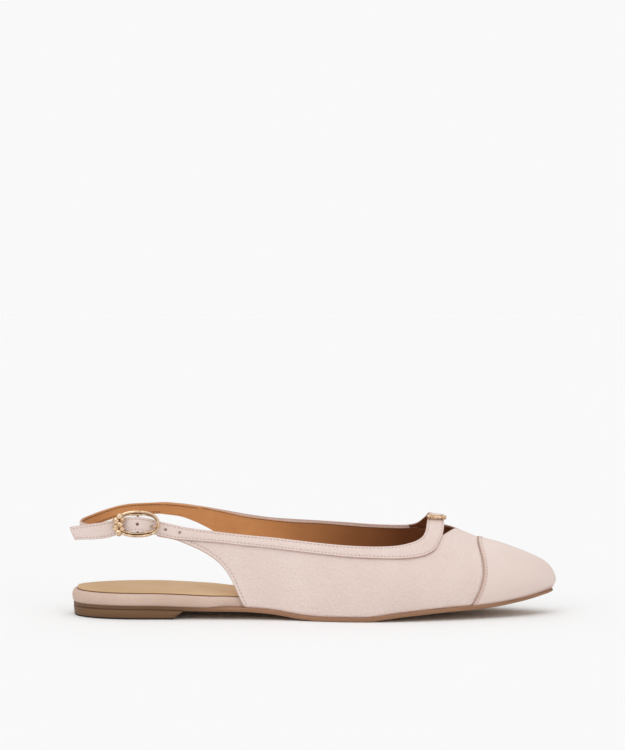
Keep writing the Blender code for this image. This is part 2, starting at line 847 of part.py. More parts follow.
def cut_hole(strap, rows, station):
    """A punched hole through the strap, square to its face."""
    index = min(range(len(rows) - 1), key=lambda i: abs((rows[i][1].x + rows[i + 1][1].x) / 2 - station))
    a, b = rows[index], rows[index + 1]
    t = (station - a[1].x) / (b[1].x - a[1].x)
    centre = a[1].lerp(b[1], t)
    normal = (b[1] - a[1]).cross(a[0] - a[2]).normalized()
    bpy.ops.mesh.primitive_cylinder_add(vertices=10, radius=HOLE_RADIUS * MM, depth=HOLE_DEPTH * MM)
    cutter = bpy.context.object
    cutter.name = f"hole_cutter_{station:.0f}"
    cutter.location = place(*centre)
    cutter.rotation_euler = normal.to_track_quat("Z", "Y").to_euler()
    use_cutter(strap, cutter, "DIFFERENCE")


def use_cutter(piece, cutter, operation):
    """Cut or join one mesh with another and keep the cutter out of the model."""
    for collection in list(cutter.users_collection):
        collection.objects.unlink(cutter)
    CUTTERS.objects.link(cutter)
    cutter.hide_render = True
    cutter.display_type = "WIRE"
    boolean = piece.modifiers.new(f"{operation.lower()} {cutter.name}", "BOOLEAN")
    boolean.operation = operation
    boolean.solver = "EXACT"
    boolean.object = cutter


def sling_rows():
    """The sling from the medial quarter round the heel to the buckle's bar."""
    top_of = smooth_curve(SLING_COLUMNS, SLING_ROWS, "top_z")
    width_of = smooth_curve(SLING_COLUMNS, SLING_ROWS, "width")
    rows = []
    for i in range(SLING_STEPS + 1):
        turn = 180.0 * i / SLING_STEPS
        angle = math.radians(turn)
        x = SLING_CENTRE - (SLING_CENTRE - SLING_REAR) * math.sin(angle) ** SLING_ROUNDNESS
        y = SLING_HALF_WIDTH * math.copysign(abs(math.cos(angle)) ** SLING_ROUNDNESS, math.cos(angle))
        top = Vector((x, y, top_of(turn)))
        low = Vector((x, y, top_of(turn) - width_of(turn)))
        rows.append([top, (top + low) / 2, low])
    return rows


def eye_rows():
    """The sling's end, curled round the buckle's bar."""
    rows = []
    for turn in range(-90, 151, 24):
        angle = math.radians(turn)
        x = BAR_STATION + EYE_RADIUS * math.cos(angle)
        y = BAR_Y - EYE_RADIUS * math.sin(angle)
        rows.append([Vector((x, y, BAR_Z + up)) for up in (EYE_HALF_WIDTH, 0.0, -EYE_HALF_WIDTH)])
    return rows


def medial_strap(material):
    """Instep strap from the middle, inner topline band, sling and eye in one piece."""
    on_upper = band_rows("medial", MEDIAL_BAND_ROWS) + crossing_rows("medial", MEDIAL_CROSSING_ROWS)
    rows = even_rows(on_upper[::-1] + sling_rows(), MEDIAL_STRAP_SPACING)
    depths = band_depths(rows)
    curl = eye_rows()
    rows += curl
    depths += [(-EYE_THICKNESS / 2, EYE_THICKNESS / 2)] * len(curl)
    strap = ribbon_solid("medial_strap", [row[::-1] for row in rows], depths, material)
    bpy.ops.mesh.primitive_cube_add(size=1.0)
    slot = bpy.context.object
    slot.name = "eye_slot_cutter"
    slot.dimensions = tuple(size * MM for size in EYE_SLOT)
    slot.location = place(BAR_STATION + EYE_RADIUS / 2, BAR_Y, BAR_Z)
    use_cutter(strap, slot, "DIFFERENCE")
    return strap


# Hardware


def wire(name, points, radius, cyclic=False, sides=2):
    """A round wire along points in millimetres, as a closed mesh."""
    curve = bpy.data.curves.new(name, "CURVE")
    curve.dimensions = "3D"
    curve.bevel_depth = radius * MM
    curve.bevel_resolution = sides
    curve.use_fill_caps = not cyclic
    spline = curve.splines.new("POLY")
    spline.points.add(len(points) - 1)
    for target, point in zip(spline.points, points):
        target.co = (*place(*point), 1.0)
    spline.use_cyclic_u = cyclic
    source = bpy.data.objects.new(name + "_curve", curve)
    CUTTERS.objects.link(source)
    bpy.context.view_layer.update()
    evaluated = source.evaluated_get(bpy.context.evaluated_depsgraph_get())
    mesh = bpy.data.meshes.new_from_object(evaluated)
    mesh.name = name
    bpy.data.objects.remove(source)
    work = bmesh.new()
    work.from_mesh(mesh)
    bmesh.ops.remove_doubles(work, verts=work.verts, dist=1e-6)
    bmesh.ops.recalc_face_normals(work, faces=work.faces)
    work.to_mesh(mesh)
    work.free()
    mesh.shade_smooth()
    return mesh


def on_buckle(along, up, out):
    """A point in the buckle's own frame: along the strap, up, and out from the foot."""
    return Vector((BAR_STATION + along, BAR_Y - out, BAR_Z + up))


def buckle_frame(material):
    """Oval frame, its centre bar and a plain cluster of beads on the rear end."""
    loop = []
    for i in range(32):
        angle = 2 * math.pi * i / 32
        along = FRAME_HALF_LENGTH * math.copysign(abs(math.cos(angle)) ** FRAME_SQUARENESS, math.cos(angle))
        up = FRAME_HALF_HEIGHT * math.copysign(abs(math.sin(angle)) ** FRAME_SQUARENESS, math.sin(angle))
        loop.append(on_buckle(along, up, FRAME_LIFT - FRAME_CURL * math.sin(angle) ** 2))
    frame = link("buckle_frame", wire("buckle_frame", loop, FRAME_WIRE, cyclic=True), material, PARTS)
    bar = []
    for i in range(9):
        up = FRAME_HALF_HEIGHT * (2 * i / 8 - 1)
        past_eye = max(0.0, (abs(up) - BAR_STRAIGHT) / (FRAME_HALF_HEIGHT - BAR_STRAIGHT))
        out = (FRAME_LIFT - FRAME_CURL) * past_eye ** 1.5
        bar.append(on_buckle(0, up, out))
    use_cutter(frame, link("bar_joined", wire("bar_joined", bar, BAR_WIRE), None, CUTTERS), "UNION")
    for i, values in enumerate(BEAD_ROWS):
        cell = dict(zip(BEAD_COLUMNS, values))
        bpy.ops.mesh.primitive_uv_sphere_add(segments=10, ring_count=6, radius=cell["radius"] * MM)
        bead = bpy.context.object
        bead.name = f"bead_joined_{i}"
        bead.location = place(*on_buckle(cell["along"], cell["up"], FRAME_LIFT + BEAD_LIFT))
        use_cutter(frame, bead, "UNION")
    return frame


def buckle_prong(material):
    """Prong hooked round the bar, up through a hole and onto the frame's front end."""
    path = []
    for turn in range(150, -61, -30):
        angle = math.radians(turn)
        path.append(on_buckle(EYE_RADIUS * math.cos(angle), 0.0, EYE_RADIUS * math.sin(angle)))
    for values in PRONG_ROWS:
        cell = dict(zip(PRONG_COLUMNS, values))
        path.append(on_buckle(cell["along"], cell["up"], cell["out"]))
    return link("buckle_prong", wire("buckle_prong", path, PRONG_WIRE), material, PARTS)


def between(rows, place_in_rows, corner):
    """A corner point between two rows, at a fractional row number."""
    index = int(place_in_rows)
    return rows[index][corner].lerp(rows[index + 1][corner], place_in_rows - index)


def instep_bar(material):
    """Plain bar with rounded ends across the instep strap, on the outer side of its crown."""
    rows = crossing_rows("lateral", LATERAL_CROSSING_ROWS)
    rear, front = between(rows, INSTEP_BAR_REAR_ROW, 0), between(rows, INSTEP_BAR_FRONT_ROW, 2)
    along = (front - rear).normalized()
    normal = (rows[3][1] - rows[1][1]).cross(along).normalized()
    if normal.z < 0:
        normal = -normal
    lift = normal * (BAND_OUTER + GAP + INSTEP_BAR_RADIUS)
    path = []
    for step in range(7):
        t = step / 6
        spot = rear.lerp(front, t) + along * INSTEP_BAR_OVERHANG * (2 * t - 1)
        path.append(spot + lift)
    mesh = wire("instep_bar", path, INSTEP_BAR_RADIUS, sides=3)
    return link("instep_bar", mesh, material, PARTS)


# Sole unit


def outsole(material):
    """Thin leather outsole with rounded edges."""
    def lifted(rise):
        return lambda s: UNDERSIDE(s) + rise

    rings = [
        ring(OUTSOLE_EDGE, lifted(0.0), OUTLINE_STEPS),
        ring(0.0, lifted(OUTSOLE_EDGE), OUTLINE_STEPS),
        ring(0.0, lambda s: sole_top(s) - OUTSOLE_TOP_EDGE, OUTLINE_STEPS),
        ring(OUTSOLE_TOP_EDGE, sole_top, OUTLINE_STEPS),
    ]
    return ring_solid("outsole", rings, material)


def heel_block(material):
    """Low stacked heel under the seat, with a slanted front."""
    work = bmesh.new()
    loops = []
    heel_top = HEEL_EDGE_ROWS[-1][0]
    for height, inset in HEEL_EDGE_ROWS:
        front = HEEL_BLOCK_END - HEEL_BREAST_SLANT * (1 - height / heel_top)
        points = {side: [] for side in SIDES}
        for i in range(HEEL_STEPS + 1):
            turn = math.pi / 2 * i / HEEL_STEPS
            station = HEEL_REAR + inset + HEEL_ROUND * (1 - math.cos(turn))
            for side, sign in SIDES.items():
                points[side].append((station, sign * half_width(side, station, inset)))
        for side, sign in SIDES.items():
            points[side].append((front, sign * half_width(side, front, inset)))
        loop = points["lateral"] + points["medial"][:0:-1]
        line = []
        for station, y in loop:
            z = height if height < heel_top else UNDERSIDE(station) - GAP
            line.append(work.verts.new(place(station, y, z)))
        loops.append(line)
    for lower, upper in zip(loops, loops[1:]):
        for i in range(len(lower)):
            k = (i + 1) % len(lower)
            work.faces.new((lower[i], lower[k], upper[k], upper[i]))
    for line, flip in ((loops[0], True), (loops[-1], False)):
        near, far = line[:HEEL_STEPS + 2], [line[0]] + line[:HEEL_STEPS + 1:-1]
        for i in range(HEEL_STEPS + 1):
            corners = []
            for vertex in (near[i], near[i + 1], far[i + 1], far[i]):
                if vertex not in corners:
                    corners.append(vertex)
            work.faces.new(corners[::-1] if flip else corners)
    return finish_mesh("heel_block", work, material)


def footbed_inset(extra):
    """Inset of the footbed: full at the seat, inside the upper's wall in front."""
    seat_end, waist_start, waist_end, toe_start, tip = FOOTBED_STATIONS
    waist = FEATHER_INSET + WALL + FOOTBED_CLEARANCE + max(0.0, extra)
    toe = waist + CAP_STEP
    rows = ((0, extra), (seat_end, extra), (waist_start, waist), (waist_end, waist), (toe_start, toe), (tip, toe))
    return smooth_curve(("station", "inset"), rows, "inset")


def footbed_rings(table):
    """Rings between the outsole's upper face and the bed."""
    rings = []
    for values in table:
        cell = dict(zip(FOOTBED_COLUMNS, values))

        def height(station, share=cell["share"], drop=cell["drop"]):
            return feather(station) * (1 - share) + (BED(station) - drop) * share

        rings.append(ring(footbed_inset(cell["inset"]), height, OUTLINE_STEPS, cell["canted"]))
    return rings


def clear_scene():
    for piece in list(bpy.data.objects):
        bpy.data.objects.remove(piece)


clear_scene()
PARTS = bpy.data.collections.new("sling_back_flat")
CUTTERS = bpy.data.collections.new("cutters")
bpy.context.scene.collection.children.link(PARTS)
bpy.context.scene.collection.children.link(CUTTERS)

BLUSH = material_of("blush leather", (0.76, 0.64, 0.58), 0.5)
RAND = material_of("rand leather", (0.60, 0.45, 0.37), 0.5)
TAN = material_of("tan sock", (0.58, 0.38, 0.21), 0.6)
SOLE = material_of("sole leather", (0.36, 0.22, 0.15), 0.55)
HEEL = material_of("stacked heel", (0.18, 0.085, 0.045), 0.45)
GOLD = material_of("pale gold", (0.92, 0.68, 0.42), 0.25, 1.0)

UPPER_RIBS, NOTCH_INDEX = upper_feet()
CAP_RIBS = [(foot, 0.0) for foot in cap_feet()]

outsole(SOLE)
heel_block(HEEL)
ring_solid("footbed", footbed_rings(FOOTBED_RINGS), RAND)
ring_solid("insole", footbed_rings(SOCK_RINGS), TAN)
shell_on_last("upper", UPPER_RIBS, 0.0, WALL, RIB_STEPS, NOTCH_INDEX, BLUSH)
shell_on_last("toe_cap", CAP_RIBS, CAP_OUTER, CAP_INNER, RIB_STEPS, 0, BLUSH)
lateral_strap(BLUSH)
medial_strap(BLUSH)
buckle_frame(GOLD)
buckle_prong(GOLD)
instep_bar(GOLD)
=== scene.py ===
"""Looks of the sling back flat: leather, lining, sole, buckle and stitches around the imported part.

The last's ribs, the straps' rows and the sole's outline follow the part's own tables,
so every fine piece lies where its plain solid is. Tables are in millimetres;
"station" is the distance from the heel's rear. +X is the toe, -Y the outer side, +Z up.
"""

import math
from bisect import bisect_right

import bmesh
import bpy
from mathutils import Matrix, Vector


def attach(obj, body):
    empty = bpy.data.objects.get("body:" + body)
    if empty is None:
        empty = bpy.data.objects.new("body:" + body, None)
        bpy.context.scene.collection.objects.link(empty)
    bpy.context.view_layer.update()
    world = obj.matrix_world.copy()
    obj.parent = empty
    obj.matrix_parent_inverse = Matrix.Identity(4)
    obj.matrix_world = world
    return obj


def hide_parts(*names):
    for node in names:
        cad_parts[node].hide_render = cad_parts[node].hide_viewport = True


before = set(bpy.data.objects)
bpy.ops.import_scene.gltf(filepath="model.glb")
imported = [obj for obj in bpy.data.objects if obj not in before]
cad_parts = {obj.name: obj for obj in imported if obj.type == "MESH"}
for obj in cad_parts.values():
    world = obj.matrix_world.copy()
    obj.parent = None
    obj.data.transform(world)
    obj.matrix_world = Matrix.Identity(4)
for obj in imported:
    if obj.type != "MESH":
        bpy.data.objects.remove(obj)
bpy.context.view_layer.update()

MM = 0.001

# Driving dimensions
HEEL_REAR = 0.5
SOLE_TIP = 263.4
HEEL_ROUND = 40.0
HEEL_FULLNESS = 2.2
TOE_START = 165.0
TOE_POWER = 1.6
TOE_TAPER = 0.73
TOE_DRAW = 1.0
TOE_SWING = 2.0
CENTRE_STATION = 132.4
SOLE_THICKNESS = 2.4
SOLE_TIP_THICKNESS = 1.7
HEEL_BLOCK_END = 62.0
HEEL_BREAST_SLANT = 6.0
GAP = 0.3
TOE_STEP_POWER = 1.45

# Upper
FEATHER_INSET = 1.0
WALL = 1.6
CAP_STEP = 0.8
CAP_INNER = 0.5
CAP_OUTER = -0.45
CAP_LAP = 0.4
NOTCH_TIP = 210.0
THROAT_START = 190.0
FAN_START = 190.0
TOE_BOX_FULLNESS = 6.5
TOE_BOX_POWER = 7
SWELL_TO_UNIT = 6.75
RIB_FINE = 48
TINY = 1e-9
REAR_FEET = (47.5, 52, 57, 62, 67, 72, 76.5, 80, 83, 85.5, 87.5, 89.2, 90.7, 92.1, 93.4, 94.6)
FRONT_FEET = (184.0, 188.0, 191.5, 195.0, 198.0, 200.5, 202.8)
MIDDLE_FEET = 13
CAP_FEET = 34
CAP_FOOT_POWER = 1.5

# Straps
STRAP_THICKNESS = 1.4
BAND_INNER = -0.05
BAND_OUTER = 1.3
BAND_RISE_START = 5.0
BAND_RISE_LENGTH = 4.0
HOLE_STATIONS = (37.0, 44.6, 52.0, 59.6)
QUARTER_REAR = 47.5
SLING_ROUNDNESS = 0.92
ACROSS = (0.0, 0.5, 1.0)

# Buckle
BAR_STATION = 37.5
BAR_Y = -26.4
BAR_Z = 51.7
FRAME_HALF_LENGTH = 11.2
FRAME_HALF_HEIGHT = 6.5
BAR_WIRE = 0.5
BAR_STRAIGHT = 3.6
FRAME_LIFT = 2.9
EYE_RADIUS = 1.2
EYE_THICKNESS = 0.8
EYE_HALF_WIDTH = 2.9
EYE_SLOT = (4.2, 5.0, 1.5)
EYE_TURNS = range(-90, 151, 24)
PRONG_TURNS = range(150, -61, -30)
STRAP_BOW = 2.7
STRAP_BOW_REACH = 9.8
FRAME_SQUARENESS = 0.85
FRAME_CURL = 1.0
BEAD_LIFT = 0.6
INSTEP_BAR_RADIUS = 1.3
INSTEP_BAR_OVERHANG = 1.0
INSTEP_BAR_REAR_ROW = 1.6
INSTEP_BAR_FRONT_ROW = 2.4

# Beads on the frame's rear end, and the prong's way up through its hole as along, up and out
BEAD_COLUMNS = ("along", "up", "radius")
BEAD_ROWS = (
    (-9.4, 4.2, 1.7),
    (-11.4, 1.8, 1.9),
    (-9.4, -0.2, 1.8),
    (-11.6, -1.8, 1.7),
    (-10.0, -4.6, 1.9),
    (-8.0, 2.2, 1.4),
    (-8.1, -2.6, 1.4),
)
PRONG_ROWS = (
    (1.6, 0.0, -0.9),
    (4.4, -0.8, -0.9),
    (6.0, -1.2, -0.8),
    (6.7, -1.4, -0.1),
    (7.1, -1.4, 0.6),
    (7.4, -1.4, 1.5),
    (8.1, -1.35, 3.2),
    (9.4, -1.2, 4.4),
    (11.2, -1.0, 4.6),
    (12.7, -1.0, 4.2),
)

# Half widths of the sole and heights along its length
SOLE_COLUMNS = ("station", "lateral", "medial", "underside", "bed")
SOLE_ROWS = (
    (0, 27.6, 26.8, 5.2, 14.3),
    (45, 27.4, 26.6, 5.2, 14.2),
    (58, 27.4, 26.0, 4.8, 13.8),
    (72, 27.5, 24.9, 4.4, 13.1),
    (92, 28.3, 22.9, 4.3, 12.1),
    (108, 30.0, 23.6, 3.4, 10.6),
    (118, 31.6, 25.2, 1.9, 9.4),
    (126, 33.4, 27.4, 0.7, 8.6),
    (138, 36.2, 31.4, 0.0, 7.6),
    (150, 38.2, 35.2, 0.0, 7.1),
    (158, 38.7, 37.4, 0.0, 7.1),
    (176, 38.9, 39.4, 2.1, 8.2),
    (200, 38.9, 39.6, 4.3, 10.2),
    (226, 38.9, 39.6, 5.8, 12.4),
    (244, 38.9, 39.6, 8.1, 14.6),
    (263.4, 38.9, 39.6, 11.9, 17.4),
)

# Rise of the footbed from its outer to its inner edge
CANT_COLUMNS = ("station", "cant")
CANT_ROWS = ((0, 0.9), (20, 1.2), (70, 1.2), (100, 0.7), (135, 0.0))

# Footbed: its clearance in the upper, and where its inset changes from seat to waist to toe
FOOTBED_CLEARANCE = 0.45
FOOTBED_STATIONS = (75, 87, 205, 218, 263)

# The last above the sole: crest height, crest offset, roundness and side bulge
LAST_COLUMNS = ("station", "crest", "crest_y", "fullness", "bulge")
LAST_ROWS = (
    (40, 122.0, 3.0, 2.0, 0.8),
    (80, 110.0, 3.5, 2.0, 0.8),
    (110, 97.0, 4.5, 2.0, 0.8),
    (140, 82.0, 6.0, 2.05, 1.3),
    (165, 69.0, 7.0, 2.1, 1.8),
    (180, 61.0, 6.5, 2.1, 1.8),
    (196, 53.0, 4.5, 2.1, 1.7),
    (203, 49.9, 3.0, 2.1, 1.6),
    (209, 47.3, 2.0, 2.1, 1.6),
    (215, 44.8, 1.4, 2.1, 1.6),
    (221, 42.3, 1.0, 2.2, 1.6),
    (234, 38.6, 0.8, 2.3, 1.7),
    (245, 34.7, 1.2, 2.3, 1.9),
    (254.5, 31.0, 1.6, 2.3, 2.1),
    (266, 26.6, 2.0, 2.3, 2.5),
)

# Ribs lean and bow forward round the toe: foot station, crest station, bow
RIB_COLUMNS = ("foot", "crest", "bow")
RIB_ROWS = (
    (190.0, 190.0, 0.0),
    (204.0, 207.0, 2.4),
    (216.8, 222.6, 6.7),
    (236.0, 229.5, 3.6),
    (262.0, 236.0, 0.0),
)
SEAM_FOOT = 216.8

# Top edge of the upper and its rear edge, as heights
TOPLINE_COLUMNS = ("station", "lateral", "medial")
TOPLINE_ROWS = (
    (46, 52.2, 58.8),
    (64, 49.0, 57.8),
    (80, 46.9, 55.2),
    (94, 45.2, 52.2),
    (109, 44.0, 50.2),
    (122, 42.6, 48.8),
    (136, 41.2, 47.9),
    (150, 40.0, 46.4),
    (165, 39.3, 45.2),
    (178, 39.7, 44.9),
    (186, 41.0, 45.4),
    (192, 42.6, 47.9),
)
REAR_COLUMNS = ("station", "lateral", "medial")
REAR_ROWS = (
    (47, 45.2, 53.1),
    (57, 43.3, 51.9),
    (64, 40.6, 49.6),
    (71, 37.5, 46.4),
    (78, 33.2, 42.2),
    (82, 29.7, 38.4),
    (86, 24.6, 32.6),
    (89.5, 17.8, 23.4),
    (92, 11.6, 14.6),
    (94.6, 6.2, 6.2),
)

# Half opening of the throat each side of the crest, towards the notch's tip
THROAT_COLUMNS = ("station", "lateral", "medial")
THROAT_ROWS = (
    (189, 29.2, 21.8),
    (195, 25.2, 17.0),
    (199, 21.6, 13.2),
    (203, 16.6, 9.2),
    (206.5, 10.2, 5.2),
    (210, 0.0, 0.0),
)

# Topline bands: the strap's upper and lower edge on the last
BAND_COLUMNS = ("top_station", "top_z", "low_station", "low_z")
LATERAL_BAND_ROWS = (
    (50, 52.5, 50, 44.8),
    (57, 50.9, 57, 43.3),
    (64, 49.4, 64, 42.7),
    (80, 47.3, 80, 41.4),
    (94, 45.7, 94, 39.9),
    (109, 44.4, 109, 38.5),
    (122, 43.0, 122, 37.1),
    (136, 41.6, 136, 35.7),
    (150, 40.4, 150, 34.4),
    (164, 39.7, 164, 33.6),
    (175, 39.8, 177, 33.2),
    (182, 40.7, 186, 33.6),
    (187, 42.0, 192.5, 34.9),
    (190.4, 44.0, 197.2, 37.4),
)
MEDIAL_BAND_ROWS = (
    (47, 58.9, 47, 52.5),
    (56, 58.5, 56, 52.1),
    (64, 57.6, 64, 51.3),
    (76, 55.8, 76, 49.5),
    (94, 52.7, 94, 46.4),
    (108, 50.7, 108, 44.4),
    (122, 49.5, 122, 43.1),
    (137, 48.2, 137, 41.9),
    (151, 46.9, 151, 40.5),
    (165, 45.6, 166, 39.2),
    (177, 45.3, 180, 38.7),
    (184, 45.6, 188, 39.4),
    (188.5, 46.7, 193.5, 41.1),
    (190.8, 48.2, 197.5, 43.3),
)

# The strap over the instep, as shares of the last's half section, 0 at the crest.
# Its front edge stands off the last as it bridges the notch.
CROSSING_COLUMNS = ("rear_share", "rear_station", "rear_lift", "front_share", "front_station", "front_lift")
LATERAL_CROSSING_ROWS = (
    (0.57, 192.3, 0.0, 0.61, 200.6, 0.0),
    (0.44, 193.1, 0.1, 0.47, 202.2, 0.5),
    (0.30, 193.9, 0.3, 0.31, 202.8, 1.6),
    (0.15, 194.9, 0.5, 0.15, 202.7, 2.5),
    (0.0, 195.6, 0.6, 0.0, 202.6, 2.8),
)
MEDIAL_CROSSING_ROWS = (
    (0.46, 192.4, 0.0, 0.56, 200.4, 0.0),
    (0.38, 193.6, 0.2, 0.40, 202.0, 1.0),
    (0.20, 194.8, 0.5, 0.20, 202.5, 2.2),
    (0.012, 195.6, 0.6, 0.012, 202.6, 2.8),
)

# Free end of the lateral strap, through the buckle to its slanted tip
FREE_COLUMNS = ("top_station", "top_z", "low_station", "low_z", "y")
FREE_ROWS = (
    (0.3, 49.1, 3.2, 42.2, -19.0),
    (6.7, 50.4, 8.4, 42.7, -21.6),
    (13.6, 51.6, 14.8, 43.1, -24.0),
    (19.6, 52.6, 20.5, 43.9, -25.3),
    (26.0, 53.9, 26.2, 45.5, -26.1),
    (31.5, 55.1, 31.5, 47.1, -26.4),
    (37.5, 55.6, 37.5, 47.7, -26.4),
    (42.5, 54.7, 42.5, 46.9, -26.3),
)

# Sling round the heel: plan of its middle line and its edges
SLING_HALF_WIDTH = 23.8
SLING_CENTRE = 31.0
SLING_REAR = 4.6
SLING_COLUMNS = ("turn", "top_z", "width")
SLING_ROWS = (
    (0.0, 58.3, 6.4),
    (15.0, 57.2, 6.4),
    (30.0, 55.5, 6.5),
    (60.0, 52.6, 6.7),
    (90.0, 51.3, 6.8),
    (120.0, 50.6, 6.8),
    (150.0, 50.9, 6.8),
    (180.0, 53.6, 6.6),
)
SLING_STEPS = 24

# Steps of the fine meshes, and how far the upper's lower edge goes into the sole
UPPER_STEPS = 26
RIB_SPACING = 2.0
STRAP_STEP = 1.2
OUTLINE_FINE = (22, 40, 44)
FRAME_STEPS = 96
BAR_STEPS = 16
SEAM_STEPS = 40
FOOT_STEP = 0.4
SHARE_STEP = 0.01
TUCK = -0.25

# Layers and stitches
LEATHER = 1.0
FACE_SPLIT = 0.35
LINING_INSET = 0.12
STRAP_EDGE = 0.1
STITCH_INSET = 1.15
STITCH_DIP = 0.12
STITCH_PITCH = 2.0
STITCH_SHARE = 0.78
STITCH_SIDES = 6
THREAD_RADIUS = 0.2
STITCH_COLUMNS = ("along", "thick", "lift")
STITCH_ROWS = (
    (-1.0, 0.45, -0.9),
    (-0.6, 0.9, 0.15),
    (0.0, 1.0, 0.45),
    (0.6, 0.9, 0.15),
    (1.0, 0.45, -0.9),
)
REAR_STITCH_INSET = 1.9
REAR_STITCH_STEP = 1.5
CAP_STITCH_INSET = 1.8
LINING_STITCH_DROP = 1.1
LINING_STITCH_STEP = 2.0
LINING_STITCH_PITCH = 1.5
LINING_THREAD_RADIUS = 0.27
LINING_STITCH_START = {"lateral": 50.0, "medial": 69.0}

# Hardware sections
RAIL_RADIUS = 0.72
LEDGE_SIDE = 0.2
LEDGE_TOP = 1.05
PRONG_THICKNESS = 0.5
BEAD_FLATNESS = 0.85
WIRE_SIDES = 14
WIRE_UP = (0.13, 0.21, 1.0)
WIRE_ROUNDING = 0.03
INSTEP_BAR_SIDES = 24
INSTEP_BAR_STEPS = 90

# Instep bar's radius from one end to its middle; the other half mirrors it
COLLAR_COLUMNS = ("share", "radius")
COLLAR_ROWS = (
    (0.0, 0.15), (0.02, 0.7), (0.06, 1.15), (0.1, 1.25), (0.125, 0.8), (0.15, 0.8),
    (0.17, 1.5), (0.2, 1.6), (0.23, 1.5), (0.25, 1.0), (0.3, 1.15), (0.5, 1.25),
)

# How far past the quarter's rear edge the buckle strap is lined, and both faces are split
LINING_LAP = 4.5
BACKED_LAP = 4.0

# The sling's lining runs on inside the quarter: stations where it starts, stands proud, turns and is free
TUCKED_LINING = (74.0, 56.0, 52.0, 40.0)
TUCKED_DEPTHS = (-1.4, -1.72)
TUCKED_MARGIN = 10.0
CROSSING_LINED = {"lateral": 197.5, "medial": 186.5}

# Where the upper's leather ends below its lining, inside the inner strap: from, full, until, gone
PARED_EDGE = (183.0, 185.5, 195.5, 199.0)
PARED = 1.5

# Holes of the buckle strap and the rod that cuts them
EYELET_RADIUS = 0.8
CUTTER_LENGTH = 8.0
CUTTER_SIDES = 24

# Footbed wrap with a rolled rim: inset, share of the height from sole to bed, drop, and its cant
FOOTBED_COLUMNS = ("inset", "share", "drop", "canted")
WRAP_RINGS = (
    (0.3, 0.0, 0.0, False),
    (-0.35, 0.14, 0.6, False),
    (-0.62, 0.3, 1.0, False),
    (-0.8, 0.62, 1.0, False),
    (-0.55, 0.8, 1.0, True),
    (-0.1, 0.94, 0.8, True),
    (0.6, 1.0, 0.62, True),
    (1.4, 1.0, 0.55, True),
    (2.2, 1.0, 0.7, True),
    (2.7, 1.0, 1.2, True),
)

# Outsole, ring by ring: inset and height above the underside, then inset and depth below the top
SOLE_FOOT_RINGS = ((0.9, 0.0), (0.45, 0.12), (0.12, 0.4), (0.0, 0.8))
SOLE_TOP_RINGS = ((0.0, 0.7), (0.08, 0.35), (0.3, 0.08), (0.8, 0.0), (1.4, 0.0))

# Heel block: height and inset of its outlines, steps round the rear and along the sides
HEEL_ROWS = ((0.0, 0.9), (0.15, 0.6), (0.5, 0.42), (2.0, 0.3), (4.9, 0.0))
HEEL_TURN_STEPS = 24
HEEL_SIDE_START = 44.0
HEEL_SIDE_STEPS = 8
HEEL_SEAT_GAP = 0.02

# Sock: inset and drop of its layers, the crown that flattens forward, and the dip of the seat
SOCK_ROWS = ((2.1, 1.0), (1.9, 0.42), (1.95, 0.16), (2.35, 0.0))
SOCK_DIVISIONS = 20
SOCK_CROWN = 1.15
CROWN_LEFT = 0.1
CROWN_END = 95.0
CROWN_RUNOUT = 60.0
SEAT_DIP = 0.25
SEAT_STATION = 34.0
SEAT_REACH = 26.0

# Heel lifts, in metres
LIFT_PITCH = 0.0011
# Height of the top piece, whose near-black band is partly rubber and partly painted contact shadow.
TOP_PIECE = 0.0009

# Creases pressed in: place on the side, length and tilt in degrees, width and depth
CREASE_COLUMNS = ("side", "station", "z", "length", "tilt", "width", "depth")
CREASE_ROWS = (
    ("lateral", 101, 24, 34, 84, 3.6, 0.16),
    ("lateral", 112, 22, 36, 88, 4.2, 0.14),
    ("lateral", 126, 22, 30, 92, 3.8, 0.16),
    ("lateral", 141, 21, 26, 95, 4.4, 0.14),
    ("lateral", 158, 22, 26, 84, 4.6, 0.20),
    ("lateral", 168, 24, 24, 76, 4.0, 0.18),
    ("lateral", 181, 26, 24, 66, 4.2, 0.18),
    ("lateral", 196, 28, 22, 52, 4.0, 0.16),
    ("medial", 104, 26, 36, 96, 4.0, 0.16),
    ("medial", 122, 25, 34, 92, 4.4, 0.16),
    ("medial", 140, 24, 28, 88, 4.2, 0.16),
    ("medial", 160, 24, 26, 98, 4.4, 0.20),
    ("medial", 174, 26, 24, 110, 4.0, 0.18),
    ("medial", 190, 28, 22, 122, 4.0, 0.16),
)

# Camera, floor and lights; a sun's angle is in degrees
PICTURE_HEIGHT = 750
FOCAL_PIXELS = 2378.0
SENSOR = 36.0
CAMERA_PLACE = (-0.0011, -1.3, 0.171)
CAMERA_PITCH = 1.775
CLIP = (0.05, 100.0)
FLOOR_HALF = 30.0
BACKDROP = 249
FLOOR_WHITE = 0.893
SKY_LOW = 0.68
SKY_HIGH = 1.04
SKY_BANDS = (0.6, 1.34)
SUN_COLUMNS = ("name", "toward", "strength", "angle")
SUN_ROWS = (
    ("overhead softbox", (0.1, 0.35, -1.0), 0.55, 50.0),
    ("front left softbox", (0.7, 0.9, -0.75), 0.32, 40.0),
    ("front right softbox", (-0.75, 0.9, -0.45), 0.27, 40.0),
)


# Curves


def cells(names, rows):
    """A table's rows, each as a dictionary by column."""
    return [dict(zip(names, row)) for row in rows]


def column(names, rows, name):
    """One column of a table, by its name."""
    index = names.index(name)
    return [float(row[index]) for row in rows]


